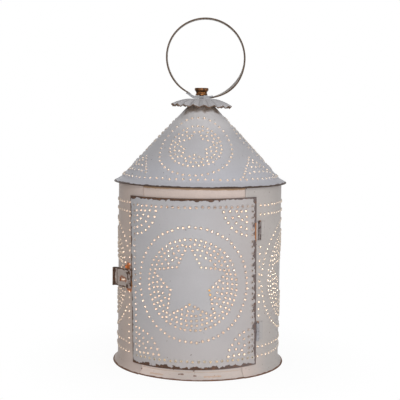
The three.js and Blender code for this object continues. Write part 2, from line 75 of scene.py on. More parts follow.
# Sizes that more than one sub-assembly has to fit
STUD_HOLE = 2.7
HINGE_HEIGHTS = (145.9, 44.5)
HASP_HEIGHT = 93.7
SLOT_DROP = 1.4
DOOR_LEAF_RADIUS = 86.1
log = logging.getLogger("lantern")

Colour = tuple[float, float, float]
Socket = bpy.types.NodeSocket
Tint = Socket | Colour
Mapping = Callable[[Vector], Vector]
Outline = Callable[[BMesh], None]
Profile = list[tuple[float, float]]

GREY: Colour = (0.49, 0.475, 0.487)
GREY_SHADE: Colour = (0.44, 0.426, 0.438)
WARM_GREY: Colour = (0.525, 0.488, 0.468)
WARM_GREY_SHADE: Colour = (0.475, 0.436, 0.416)
CREAM: Colour = (0.712, 0.6, 0.549)
CREAM_SHADE: Colour = (0.58, 0.475, 0.43)
INSIDE: Colour = (0.168, 0.134, 0.116)
ROOF_INSIDE: Colour = (0.42, 0.36, 0.32)
# Burr tips painted pale: painted light from the bulb inside, seen on the walls of the holes
LAMPLIT_BURR: Colour = (0.71, 0.6, 0.485)
FOOT_RUST: Colour = (0.16, 0.08, 0.05)
PIN_LOOK = ((0.36, 0.2, 0.12), (0.16, 0.09, 0.06), 0.7, (0.4, 0.7), 2.0)


class Rides(Enum):
    """The bodies of the frame that a piece can move with."""

    LANTERN = "lantern"
    DOOR = "door"
    HASP = "hasp"
    RING = "ring"


class Slot(Enum):
    """The record's material slots, one named for each new piece."""

    PAINT = "painted_tin"
    CREAM = "cream_tin"
    WORN = "worn_steel"
    BRASS = "aged_brass"
    STEEL = "plain_steel"
    TUBE = "candle_tube"
    GLASS = "bulb_glass"


def polar(radius: float, azimuth: float, z: float = 0.0) -> Vector:
    """A point at a radius, an azimuth in degrees and a height."""
    turn = math.radians(azimuth)
    return Vector((radius * math.sin(turn), -radius * math.cos(turn), z))


def ray(length: float, angle: float) -> Vector:
    """A vector in the flat sheet of a length and a direction in degrees."""
    turn = math.radians(angle)
    return Vector((length * math.cos(turn), length * math.sin(turn), 0))


def smooth(value: float, low: float, high: float) -> float:
    """A smooth step from 0 at low to 1 at high."""
    share = min(1.0, max(0.0, (value - low) / (high - low)))
    return share * share * (3 - 2 * share)


# Finishes


class Nodes:
    """Short ways to add shader nodes to a material or a world."""

    def __init__(self, owner: bpy.types.Material | bpy.types.World) -> None:
        """Starts without any nodes.

        Args:
            owner: the material or world.
        """
        owner.use_nodes = True
        self.tree = owner.node_tree
        self.tree.nodes.clear()

    def add(self, kind: str, **settings: object) -> bpy.types.Node:
        """Adds a node.

        Args:
            kind: the node's type.
            settings: properties to set on it.

        Returns:
            The new node.
        """
        node = self.tree.nodes.new(kind)
        for key, value in settings.items():
            setattr(node, key, value)
        return node

    def link(self, source: Socket, target: Socket) -> None:
        """Joins an output to an input."""
        self.tree.links.new(source, target)

    def feed(self, target: Socket, value: object) -> None:
        """Links a socket, or sets a value, to an input.

        Args:
            target: the input.
            value: the socket or value.
        """
        if isinstance(value, Socket):
            self.link(value, target)
        else:
            target.default_value = value

    def place(self) -> Socket:
        """The Object coordinates, in metres."""
        return self.add("ShaderNodeTexCoord").outputs["Object"]

    def flat(self) -> tuple[Socket, ...]:
        """Reads the flat sheet's own coordinates.

        Returns:
            Along, up and height, in millimetres.
        """
        source = self.add("ShaderNodeAttribute", attribute_name=FLAT)
        split = self.add("ShaderNodeSeparateXYZ")
        self.link(source.outputs["Vector"], split.inputs[0])
        return tuple(split.outputs)

    def noise(self, size: float, detail: float = 3.0, seed: float = 0.0) -> Socket:
        """Noise in object space.

        Args:
            size: the width of a patch in millimetres.
            detail: the number of finer layers.
            seed: a shift that gives another cut of the noise.

        Returns:
            The noise value, about 0.5 on average.
        """
        shift = self.add("ShaderNodeMapping")
        shift.inputs["Location"].default_value = (seed, seed * 0.7, -seed)
        self.link(self.place(), shift.inputs["Vector"])
        node = self.add("ShaderNodeTexNoise")
        self.link(shift.outputs[0], node.inputs["Vector"])
        node.inputs["Scale"].default_value = 1 / (size * MM)
        node.inputs["Detail"].default_value = detail
        return node.outputs["Fac"]

    def math(self, operation: str, a: object, b: object = 0.0) -> Socket:
        """Adds one math node.

        Args:
            operation: what it does.
            a: the first socket or number.
            b: the second one.

        Returns:
            The result.
        """
        node = self.add("ShaderNodeMath", operation=operation)
        self.feed(node.inputs[0], a)
        self.feed(node.inputs[1], b)
        return node.outputs[0]

    def spread(self, value: object, low: float, high: float, out_low: float = 0.0,
               out_high: float = 1.0) -> Socket:
        """Maps a range of a value, clamped, onto another range.

        Args:
            value: the socket or number.
            low: where the range starts.
            high: where it ends.
            out_low: the result at its start.
            out_high: the result at its end.

        Returns:
            The result.
        """
        node = self.add("ShaderNodeMapRange", clamp=True)
        limits = {"From Min": low, "From Max": high, "To Min": out_low, "To Max": out_high}
        for key, number in limits.items():
            node.inputs[key].default_value = number
        self.feed(node.inputs["Value"], value)
        return node.outputs["Result"]

    def mix(self, share: object, a: Tint, b: Tint) -> Socket:
        """Mixes two colours.

        Args:
            share: the share of the second colour.
            a: the first colour.
            b: the second colour.

        Returns:
            The mixed colour.
        """
        node = self.add("ShaderNodeMix", data_type="RGBA")
        self.feed(node.inputs["Factor"], share)
        for socket, value in ((node.inputs[6], a), (node.inputs[7], b)):
            self.feed(socket, value if isinstance(value, Socket) else (*value, 1.0))
        return node.outputs[2]


class Surface(Nodes):
    """The nodes of a new material with one main shader."""

    def __init__(self, name: str) -> None:
        """Starts the material.

        Args:
            name: the material's name.
        """
        self.material = bpy.data.materials.new(name)
        super().__init__(self.material)
        self.shader = self.add("ShaderNodeBsdfPrincipled")
        output = self.add("ShaderNodeOutputMaterial")
        self.link(self.shader.outputs[0], output.inputs["Surface"])

    def bump(self, height: Socket, depth: float, strength: float) -> None:
        """Gives the shader a bump.

        Args:
            height: the relief.
            depth: its depth in millimetres.
            strength: how much of it shows.
        """
        node = self.add("ShaderNodeBump")
        node.inputs["Strength"].default_value = strength
        node.inputs["Distance"].default_value = depth * MM
        self.link(height, node.inputs["Height"])
        self.link(node.outputs[0], self.shader.inputs["Normal"])

    def set(self, **values: object) -> None:
        """Sets or links inputs of the shader.

        Args:
            values: a value for each input, with an underscore for a space in the input's name.
        """
        for key, value in values.items():
            socket = self.shader.inputs[key.replace("_", " ")]
            if socket.type == "RGBA" and not isinstance(value, Socket):
                value = (*value, 1.0)
            self.feed(socket, value)


@dataclass(frozen=True)
class EdgeWear:
    """How far bare, rusted metal shows in from each edge of a flat sheet, in millimetres."""

    half_along: float = 0.0
    half_up: float = 0.0
    left: float = 0.0
    right: float = 0.0
    bottom: float = 0.0
    top: float = 0.0
    least: float = 0.12
    most: float = 1.6
    blur: tuple[float, float] = (-0.12, 0.22)

    def mask(self, nodes: Nodes) -> Socket | None:
        """Adds the nodes of the ragged worn band.

        Args:
            nodes: the material to add to.

        Returns:
            The share of bare metal, or None where no edge is worn.
        """
        along, up, _ = nodes.flat()
        ragged = nodes.spread(nodes.noise(5.0, detail=4.0, seed=3.1), *CONTRAST, self.least, self.most)
        edges = [
            (self.left, nodes.math("ADD", along, self.half_along)),
            (self.right, nodes.math("SUBTRACT", self.half_along, along)),
            (self.bottom, nodes.math("ADD", up, self.half_up)),
            (self.top, nodes.math("SUBTRACT", self.half_up, up)),
        ]
        share = None
        for width, distance in edges:
            if width == 0.0:
                continue
            reach = nodes.math("SUBTRACT", nodes.math("MULTIPLY", ragged, width), distance)
            worn = nodes.spread(reach, *self.blur)
            share = worn if share is None else nodes.math("MAXIMUM", share, worn)
        return share


@dataclass(frozen=True)
class Stain:
    """A ragged spot on a flat sheet, drawn out along it or up it."""

    along: float
    up: float
    half_length: float
    radius: float
    colour: Colour
    upright: bool = False
    strength: float = 1.0
    ragged: tuple[float, float] = (0.5, 1.3)
    blur: float = 0.3

    def over(self, nodes: Nodes, colour: Socket) -> Socket:
        """Adds the stain to a colour.

        Args:
            nodes: the material to add to.
            colour: the colour under the stain.

        Returns:
            The stained colour.
        """
        along, up, _ = nodes.flat()
        x = nodes.math("ABSOLUTE", nodes.math("SUBTRACT", along, self.along))
        y = nodes.math("ABSOLUTE", nodes.math("SUBTRACT", up, self.up))
        lengthways, across = (y, x) if self.upright else (x, y)
        beyond = nodes.math("MAXIMUM", nodes.math("SUBTRACT", lengthways, self.half_length), 0.0)
        squares = nodes.math("ADD", nodes.math("MULTIPLY", beyond, beyond),
                             nodes.math("MULTIPLY", across, across))
        least, most = (share * self.radius for share in self.ragged)
        reach = nodes.spread(nodes.noise(3.0, detail=4.0, seed=6.3), *CONTRAST, least, most)
        inside = nodes.math("SUBTRACT", reach, nodes.math("SQRT", squares))
        soft = self.blur * self.radius
        return nodes.mix(nodes.spread(inside, -soft, soft, 0.0, self.strength), colour, self.colour)


@dataclass(frozen=True)
class Paint:
    """Brushed-on paint over tin, chipped to rusty metal at its edges."""

    name: str
    colour: Colour
    shade: Colour
    bare: Colour = (0.088, 0.056, 0.044)
    rust: Colour = (0.22, 0.105, 0.06)
    wear: EdgeWear = field(default_factory=EdgeWear)
    chips: float = 0.7
    roughness: float = 0.55
    inside: Colour | None = None
    burr: Colour = (0.68, 0.58, 0.52)
    # How dark the painted shade round the foot of each burr is
    skirt_shade: float = 0.4
    stains: tuple[Stain, ...] = ()

    def material(self) -> bpy.types.Material:
        """Makes the material.

        Returns:
            The paint with its burrs, lining, worn edges, chips and stains.
        """
        nodes = Surface(self.name)
        clouds = nodes.spread(nodes.noise(34.0, detail=4.0), *GENTLE)
        grain = nodes.spread(nodes.noise(1.6, detail=3.0, seed=1.0), *GENTLE)
        tone = nodes.math("ADD", nodes.math("MULTIPLY", clouds, 0.7), nodes.math("MULTIPLY", grain, 0.3))
        coat = self.tinted(nodes, nodes.mix(tone, self.shade, self.colour))
        if self.inside is not None:
            raised = nodes.flat()[2]
            # Painted shade: a dark ring round the foot of each burr
            coat = nodes.mix(nodes.spread(raised, *BURR_SKIRT, 0.0, self.skirt_shade), coat, self.bare)
            coat = nodes.mix(nodes.spread(raised, *BURR_TIP, 0.0, 0.8), coat, self.burred(nodes))
            coat = nodes.mix(nodes.spread(raised, *INNER_FACE), coat, self.lining(nodes))
        rusty = nodes.spread(nodes.noise(3.0, detail=4.0, seed=5.0), 0.52, 0.78)
        metal = nodes.mix(rusty, self.metal(nodes), self.rust)
        specks = nodes.spread(nodes.noise(2.6, detail=5.0, seed=8.0), self.chips, self.chips + 0.03)
        worn = self.wear.mask(nodes)
        share = specks if worn is None else nodes.math("MAXIMUM", specks, worn)
        colour = self.weathered(nodes, nodes.mix(share, coat, metal))
        for stain in self.stains:
            colour = stain.over(nodes, colour)
        nodes.set(
            Base_Color=colour,
            Roughness=nodes.spread(share, 0.0, 1.0, self.roughness, 0.75),
            Specular_IOR_Level=0.2,
        )
        whole = nodes.spread(share, 0.0, 1.0, 1.0, 0.0)
        nodes.bump(nodes.math("ADD", nodes.math("MULTIPLY", grain, 0.5), whole), 0.12, 0.35)
        return nodes.material

    def tinted(self, nodes: Nodes, coat: Socket) -> Socket:
        """The whole paint's colour after fading, of which plain paint has none."""
        return coat

    def burred(self, nodes: Nodes) -> Tint:
        """The colour of the burrs round the holes."""
        return self.burr

    def lining(self, nodes: Nodes) -> Tint:
        """The colour of the sheet's inner face."""
        return self.inside

    def metal(self, nodes: Nodes) -> Tint:
        """The colour of the bare metal at worn edges."""
        return self.bare

    def weathered(self, nodes: Nodes, colour: Socket) -> Socket:
        """The paint's colour after further weathering, of which plain paint has none."""
        return colour


@dataclass(frozen=True)
class WrapperPaint(Paint):
    """The wrapper's paint: painted warm glow and shade towards its left end, cream beside the header and
    the sill.
    """

    # A painted warm glow and shade of lamplight leaking out at the left end
    blush: Colour = (0.54, 0.435, 0.38)
    cream: Colour = (0.64, 0.535, 0.49)
    end: float = 213.0
    header: float = 75.0
    sill: float = -76.0
    # The inner face is painted darker at the bulb's height and lighter above and below: painted shade and
    # light that even out the bulb's light
    bulb_level: float = -5.0
    far_lining: Colour = (0.42, 0.345, 0.30)

    def lining(self, nodes: Nodes) -> Tint:
        """Darkens the inner face level with the bulb and lightens it above and below, as painted shade and
        painted light.
        """
        away = nodes.math("ABSOLUTE", nodes.math("SUBTRACT", nodes.flat()[1], self.bulb_level))
        return nodes.mix(nodes.spread(away, 10.0, 65.0), self.inside, self.far_lining)

    def tinted(self, nodes: Nodes, coat: Socket) -> Socket:
        """Warms the paint's colour, with painted warm light and shade towards the left end.

        Args:
            nodes: the material to add to.
            coat: the colour so far.

        Returns:
            The tinted colour.
        """
        along, up, _ = nodes.flat()
        # Painted warm light and shade towards the left end
        warm = nodes.mix(nodes.spread(along, self.end - 170, self.end - 30, 0.0, 0.85), coat, self.blush)
        beside = nodes.spread(along, self.end - 26, self.end - 4, 0.0, 0.85)
        above = nodes.spread(up, self.header - 6, self.header + 4)
        topped = nodes.mix(nodes.math("MULTIPLY", beside, above), warm, self.cream)
        ends = nodes.spread(nodes.math("ABSOLUTE", along), self.end - 34, self.end - 2, 0.0, 0.9)
        below = nodes.spread(up, self.sill + 5, self.sill - 5)
        return nodes.mix(nodes.math("MULTIPLY", ends, below), topped, self.cream)


@dataclass(frozen=True)
class DoorPaint(Paint):
    """The door's paint: warmer and dustier towards its hinges, its lowest row of burrs painted pale as
    painted light.
    """

    dusty: Colour = (0.165, 0.132, 0.127)
    blush: Colour = (0.48, 0.437, 0.424)
    # Painted light on the lowest row's burrs
    white: Colour = (0.95, 0.84, 0.66)

    def tinted(self, nodes: Nodes, coat: Socket) -> Socket:
        """Warms the paint towards the hinges and the lower edge.

        Args:
            nodes: the material to add to.
            coat: the colour so far.

        Returns:
            The tinted colour.
        """
        along, up, _ = nodes.flat()
        by_hinges = nodes.spread(along, 10.0, 60.0, 0.0, 0.7)
        low = nodes.spread(up, -20.0, -75.0, 0.0, 0.6)
        return nodes.mix(nodes.math("MAXIMUM", by_hinges, low), coat, self.blush)

    def burred(self, nodes: Nodes) -> Tint:
        """Whitens the burrs of the lowest row: painted light showing through those holes."""
        return nodes.mix(nodes.spread(nodes.flat()[1], -68.0, -73.0), self.burr, self.white)

    def metal(self, nodes: Nodes) -> Tint:
        """Dusts the bare metal towards the hinges."""
        return nodes.mix(nodes.spread(nodes.flat()[0], 10.0, 66.0), self.bare, self.dusty)


@dataclass(frozen=True)
class SillPaint(Paint):
    """The sill's paint: painted paler towards its ends, most at the left, and bright where the door covers
    it, as painted light.
    """

    # Painted light: paler ends against their shade, and bright paint in the door's shadow where light comes
    # through the holes
    pale: Colour = (0.77, 0.65, 0.592)
    fresh: Colour = (0.92, 0.8, 0.62)

    def tinted(self, nodes: Nodes, coat: Socket) -> Socket:
        """Lightens the ends and what the door covers, as painted light against their shade.

        Args:
            nodes: the material to add to.
            coat: the colour so far.

        Returns:
            The tinted colour.
        """
        along, up, _ = nodes.flat()
        # Painted light at the ends and behind the door
        left = nodes.spread(along, -8.0, -48.0)
        right = nodes.spread(along, 8.0, 48.0, 0.0, 0.15)
        share = nodes.math("ADD", left, right)
        return nodes.mix(nodes.spread(up, 1.0, 3.0), nodes.mix(share, coat, self.pale), self.fresh)


@dataclass(frozen=True)
class CollarPaint(Paint):
    """The collar's paint: a painted highlight on its pleats' ridges and painted shade in the valleys
    between them.
    """

    valley_shade: Colour = (0.24, 0.225, 0.22)
    ridge_highlight: Colour = (0.48, 0.47, 0.48)

    def tinted(self, nodes: Nodes, coat: Socket) -> Socket:
        """Darkens the valleys and lightens the ridges: painted shade and painted highlight.

        Args:
            nodes: the material to add to.
            coat: the colour so far.

        Returns:
            The tinted colour.
        """
        pleat = nodes.flat()[0]
        # Painted shade in the valleys and a painted highlight on the ridges
        shaded_valleys = nodes.mix(nodes.spread(pleat, -0.4, -0.95, 0.0, 0.8), coat, self.valley_shade)
        return nodes.mix(nodes.spread(pleat, 0.1, 0.9, 0.0, 0.7), shaded_valleys, self.ridge_highlight)


@dataclass(frozen=True)
class RingPaint(Paint):
    """The ring's paint: fresh over the two lapped ends."""

    end: float = 140.0
    fresh: Colour = (0.36, 0.36, 0.375)

    def weathered(self, nodes: Nodes, colour: Socket) -> Socket:
        """Covers the wear near the ends."""
        reach = nodes.math("ABSOLUTE", nodes.flat()[0])
        return nodes.mix(nodes.spread(reach, self.end - 28, self.end - 24), colour, self.fresh)


@dataclass(frozen=True)
class RoofPaint(Paint):
    """The roof's paint: worn at the brim, paler at the tip as painted light, and browned under the collar
    by a ragged band of stain and painted shadow.
    """

    brim_edge: float = -8.7
    # The band under the collar and its brown: partly stain, partly painted shadow of the collar
    band: tuple[float, float] = (89.0, 95.0)
    stain: Colour = (0.25, 0.185, 0.14)
    # Painted light that makes the tip paler against the collar's shade
    pale: Colour = (0.69, 0.665, 0.665)
    cool: Colour = (0.5, 0.505, 0.56)

    def tinted(self, nodes: Nodes, coat: Socket) -> Socket:
        """Makes the paint paler towards the tip, as painted light against the collar's shade, and cooler
        towards the brim.

        Args:
            nodes: the material to add to.
            coat: the colour so far.

        Returns:
            The tinted colour.
        """
        up = nodes.flat()[1]
        cooled = nodes.mix(nodes.spread(up, 34.0, 2.0, 0.0, 0.5), coat, self.cool)
        return nodes.mix(nodes.spread(up, 60.0, 88.0), cooled, self.pale)

    def weathered(self, nodes: Nodes, colour: Socket) -> Socket:
        """Adds the worn brim and the brown band, stain and painted shadow of the collar, to the colour.

        Args:
            nodes: the material to add to.
            colour: the colour so far.

        Returns:
            The weathered colour.
        """
        up = nodes.flat()[1]
        ragged = nodes.spread(nodes.noise(8.0, detail=4.0, seed=9.0), 0.34, 0.66, -4.0, 4.0)
        # The ragged brown band under the collar: stain and painted shadow
        low, high = self.band
        stained_and_shaded = nodes.spread(nodes.math("ADD", up, ragged), low, high, 0.0, 0.9)
        chipped = nodes.spread(nodes.noise(6.0, detail=4.0, seed=3.3), 0.36, 0.62, 0.5, 1.9)
        reach = nodes.math("ADD", chipped, self.brim_edge)
        edge = nodes.spread(nodes.math("SUBTRACT", reach, up), -0.15, 0.2)
        return nodes.mix(edge, nodes.mix(stained_and_shaded, colour, self.stain), self.bare)


@dataclass(frozen=True)
class Metal:
    """Bare metal with a cloudy tarnish."""

    name: str
    bright: Colour
    dull: Colour
    metallic: float = 0.9
    roughness: tuple[float, float] = (0.3, 0.6)
    patch: float = 5.0

    def material(self) -> bpy.types.Material:
        """Makes the material.

        Returns:
            The tarnished metal.
        """
        nodes = Surface(self.name)
        tarnish = nodes.spread(nodes.noise(self.patch, detail=5.0, seed=2.0), *CONTRAST)
        low, high = self.roughness
        nodes.set(
            Base_Color=nodes.mix(tarnish, self.bright, self.dull),
            Metallic=self.metallic,
            Roughness=nodes.spread(tarnish, 0.0, 1.0, low, high),
        )
        nodes.bump(tarnish, 0.08, 0.3)
        return nodes.material


@dataclass(frozen=True)
class Moulded:
    """Plastic, rubber or a waxed tube with a faint grain."""

    name: str
    colour: Colour
    shade: Colour
    roughness: float
    patch: float = 12.0

    def material(self) -> bpy.types.Material:
        """Makes the material.

        Returns:
            The grained plastic, rubber or tube.
        """
        nodes = Surface(self.name)
        clouds = nodes.spread(nodes.noise(self.patch, detail=4.0, seed=4.0), *GENTLE)
        grain = nodes.noise(0.8, detail=2.0, seed=6.0)
        nodes.set(
            Base_Color=nodes.mix(clouds, self.colour, self.shade),
            Roughness=nodes.spread(grain, *GENTLE, self.roughness - 0.06, self.roughness + 0.06),
        )
        nodes.bump(grain, 0.05, 0.3)
        return nodes.material


@dataclass(frozen=True)
class GlowingGlass:
    """The lit bulb's frosted glass, amber below and paler towards its tip."""

    name: str
    pale: Colour
    amber: Colour
    change: tuple[float, float]
    strength: float
    haze: float = 4.0

    def material(self) -> bpy.types.Material:
        """Makes the material.

        Returns:
            The glowing glass.
        """
        nodes = Surface(self.name)
        split = nodes.add("ShaderNodeSeparateXYZ")
        nodes.link(nodes.place(), split.inputs[0])
        haze = nodes.math("MULTIPLY", nodes.noise(9.0), self.haze * MM)
        low, high = self.change
        share = nodes.spread(nodes.math("ADD", split.outputs[2], haze), low * MM, high * MM)
        tone = nodes.mix(share, self.amber, self.pale)
        nodes.set(
            Base_Color=(0.06, 0.05, 0.04),
            Roughness=0.15,
            Emission_Color=tone,
            Emission_Strength=self.strength,
        )
        return nodes.material


# Mesh tools


def show(thing: bpy.types.Object) -> None:
    """Links an object to the scene."""
    bpy.context.scene.collection.objects.link(thing)


def outward(bm: BMesh) -> None:
    """Turns all face normals outward."""
    bmesh.ops.recalc_face_normals(bm, faces=bm.faces[:])


def move(bm: BMesh, way: Sequence[float]) -> None:
    """Moves a whole mesh."""
    bmesh.ops.translate(bm, vec=way, verts=bm.verts[:])


def unface(bm: BMesh) -> None:
    """Takes away the faces and keeps their edges."""
    bmesh.ops.delete(bm, geom=bm.faces[:], context="FACES_ONLY")


def fill(bm: BMesh) -> None:
    """Fills flat outlines with triangles round the holes in them."""
    bmesh.ops.triangle_fill(bm, use_beauty=True, edges=bm.edges[:], normal=(0, 0, 1))


def key_flat(bm: BMesh) -> None:
    """Stores each vertex's present place as the flat sheet's own coordinates.

    Args:
        bm: the flat sheet.
    """
    layer = bm.verts.layers.float_vector.get(FLAT) or bm.verts.layers.float_vector.new(FLAT)
    for vert in bm.verts:
        vert[layer] = vert.co


def shift_flat(bm: BMesh, centre: Vector) -> None:
    """Moves the origin of the stored flat coordinates.

    Args:
        bm: the sheet.
        centre: the new origin.
    """
    layer = bm.verts.layers.float_vector[FLAT]
    for vert in bm.verts:
        vert[layer] = vert[layer] - centre


def roll(bm: BMesh, mapping: Mapping) -> None:
    """Moves every vertex by a mapping, as rolling or bending does."""
    for vert in bm.verts:
        vert.co = mapping(vert.co)


def cylinder_roll(radius: float, flare: Callable[[float], float] = lambda z: 0.0) -> Mapping:
    """The mapping that rolls a flat sheet round the axis.

    Args:
        radius: the radius of the sheet's outer face.
        flare: how much further out the face is at a height.

    Returns:
        The mapping of flat (along, up, height) to space.
    """
    def mapping(flat: Vector) -> Vector:
        """Rolls one flat place."""
        return polar(radius + flat.z + flare(flat.y), math.degrees(flat.x / radius), flat.y)
    return mapping


def extruded(bm: BMesh, edges: Sequence[BMEdge]) -> tuple[list[BMVert], list[BMEdge]]:
    """Extrudes edges.

    Args:
        bm: the mesh.
        edges: the edges.

    Returns:
        The new vertices, and the new edges that lie opposite the old ones.
    """
    made = bmesh.ops.extrude_edge_only(bm, edges=list(edges))["geom"]
    verts = [item for item in made if isinstance(item, BMVert)]
    fresh = set(verts)
    edges = [item for item in made if isinstance(item, BMEdge) and set(item.verts) <= fresh]
    return verts, edges


def cut(bm: BMesh, point: Sequence[float], normal: Sequence[float]) -> None:
    """Cuts all faces along a plane without parting them."""
    bmesh.ops.bisect_plane(bm, geom=[*bm.verts, *bm.edges, *bm.faces], dist=NEAR,
                           plane_co=point, plane_no=normal)


def soften(bm: BMesh, offset: float) -> None:
    """Bevels every sharp edge.

    Args:
        bm: the mesh.
        offset: how far the bevel reaches to each side of an edge.
    """
    sharp = [e for e in bm.edges if e.is_manifold and e.calc_face_angle() > BEVEL_ANGLE]
    bmesh.ops.bevel(bm, geom=sharp, offset=offset, segments=2, profile=0.5, affect="EDGES", material=-1)


def thicken(bm: BMesh, depth: float) -> None:
    """Gives an open sheet a wall that reaches inwards, away from its face normals.

    Args:
        bm: the sheet.
        depth: the thickness.
    """
    bm.normal_update()
    lean = bm.verts.layers.float_vector.new("lean")
    flat = bm.verts.layers.float_vector.get(FLAT)
    for vert in bm.verts:
        vert[lean] = vert.normal
    made = bmesh.ops.extrude_face_region(bm, geom=bm.faces[:], use_keep_orig=True)["geom"]
    for item in made:
        if isinstance(item, BMVert):
            item.co -= item[lean] * depth
            if flat is not None:
                item[flat] = item[flat] - Vector((0, 0, depth))
    bm.verts.layers.float_vector.remove(lean)
    outward(bm)


def turned(profile: Profile, steps: int = 48) -> BMesh:
    """Spins a profile of (radius, height) points round the axis into a closed body.

    Args:
        profile: the outline, in order; it is closed by itself unless it starts and ends on the axis.
        steps: how many sides the body gets.

    Returns:
        The body.
    """
    bm = bmesh.new()
    verts = [bm.verts.new((r, 0.0, z)) for r, z in profile]
    pairs = list(zip(verts, verts[1:]))
    if profile[0][0] > 0:
        pairs.append((verts[-1], verts[0]))
    edges = [bm.edges.new(pair) for pair in pairs]
    bmesh.ops.spin(bm, geom=[*verts, *edges], cent=(0, 0, 0), axis=(0, 0, 1), dvec=(0, 0, 0),
                   angle=2 * math.pi, steps=steps, use_merge=True, use_duplicate=False)
    bmesh.ops.remove_doubles(bm, verts=bm.verts[:], dist=NEAR)
    outward(bm)
    return bm


def plate(half_along: float, half_up: float, depth: float, cuts: tuple[int, int],
          round_off: float = 0.15) -> BMesh:
    """A flat plate round the origin, its outer face at height 0, with softened edges.

    Args:
        half_along: half its length.
        half_up: half its height.
        depth: its thickness.
        cuts: the number of faces along and up.
        round_off: how much its edges are softened.

    Returns:
        The plate, with its flat coordinates stored.
    """
    bm = bmesh.new()
    bmesh.ops.create_grid(bm, x_segments=cuts[0], y_segments=cuts[1], size=1.0,
                          matrix=Matrix.Diagonal((half_along, half_up, 1, 1)))
    thicken(bm, depth)
    soften(bm, round_off)
    key_flat(bm)
    return bm


def join(bm: BMesh, other: BMesh) -> None:
    """Adds another bmesh to a bmesh.

    Args:
        bm: the mesh that grows.
        other: the mesh to add, which is freed.
    """
    carrier = bpy.data.meshes.new("carrier")
    other.to_mesh(carrier)
    other.free()
    bm.from_mesh(carrier)
    bpy.data.meshes.remove(carrier)


def settle(name: str, bm: BMesh, look: bpy.types.Material | Sequence[bpy.types.Material], rides: Rides,
           slot: Slot, stands_for: Sequence[str]) -> bpy.types.Object:
    """Turns a bmesh in millimetres into a piece of the lantern.

    Args:
        name: the piece's name.
        bm: its mesh, which is freed.
        look: its material, or one for each material index.
        rides: the body that it moves with.
        slot: not used.
        stands_for: the frame's nodes that it replaces.

    Returns:
        The new object.
    """
    for face in bm.faces:
        face.smooth = True
    for edge in bm.edges:
        edge.smooth = not edge.is_manifold or edge.calc_face_angle() < SHARP_ANGLE
    bmesh.ops.scale(bm, vec=(MM, MM, MM), verts=bm.verts[:])
    mesh = bpy.data.meshes.new(name)
    bm.to_mesh(mesh)
    bm.free()
    for material in [look] if isinstance(look, bpy.types.Material) else look:
        mesh.materials.append(material)
    piece = bpy.data.objects.new(name, mesh)
    show(piece)
    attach(piece, rides.value)
    if stands_for:
        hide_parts(*stands_for)
    log.info("%s: %d faces, rides on %s", name, len(mesh.polygons), rides.value)
    return piece


def dress(looks: dict[str, bpy.types.Material]) -> None:
    """Gives nodes of the frame that stay in view their finishes.

    Args:
        looks: a material for each node's name.
    """
    for name, look in looks.items():
        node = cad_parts[name]
        node.data.materials.clear()
        node.data.materials.append(look)
        log.info("%s: kept from the frame", name)


# Punched pattern


@dataclass(frozen=True)
class Punch:
    """One hole driven through the sheet from behind, with the burr that it raises."""

    base: float = 1.78
    rim: float = 1.1
    height: float = 0.95
    sides: int = 8


@dataclass(frozen=True)
class Star:
    """A five-pointed star left blank in the flat sheet."""

    centre: Vector
    tip: float
    notch: float
    up: float = 90.0

    def corners(self) -> list[Vector]:
        """Its ten corners, from the tip at its top."""
        reaches = [self.tip, self.notch] * POINTS
        return [self.centre + ray(reach, self.up + HALF_ARM * i) for i, reach in enumerate(reaches)]

    def edges(self) -> list[tuple[Vector, Vector]]:
        """Its ten edges."""
        corners = self.corners()
        return list(zip(corners, corners[1:] + corners[:1]))

    def gap_reach(self, rings: Vector, radius: float, middle: float, side: int, margin: float) -> float:
        """The angle in degrees that is free to one side of the middle of a gap between two arms.

        Args:
            rings: the middle of the rings.
            radius: the radius of the ring that is followed.
            middle: the direction of the gap's middle.
            side: 1 for counter-clockwise, -1 for clockwise.
            margin: how far free places stay from the star's edges.

        Returns:
            The angle, negative where no place is free.
        """
        reach = -1.0
        while (reach < HALF_ARM - 1
               and self.clearance(rings + ray(radius, middle + side * (reach + 1))) > margin):
            reach += 1.0
        return reach

    def clearance(self, place: Vector) -> float:
        """How far a place is from the star.

        Args:
            place: the flat place.

        Returns:
            The distance from the nearest edge.
        """
        distances = []
        for start, end in self.edges():
            share = intersect_point_line(place, start, end)[1]
            near = start.lerp(end, min(1.0, max(0.0, share)))
            distances.append((place - near).length)
        return min(distances)


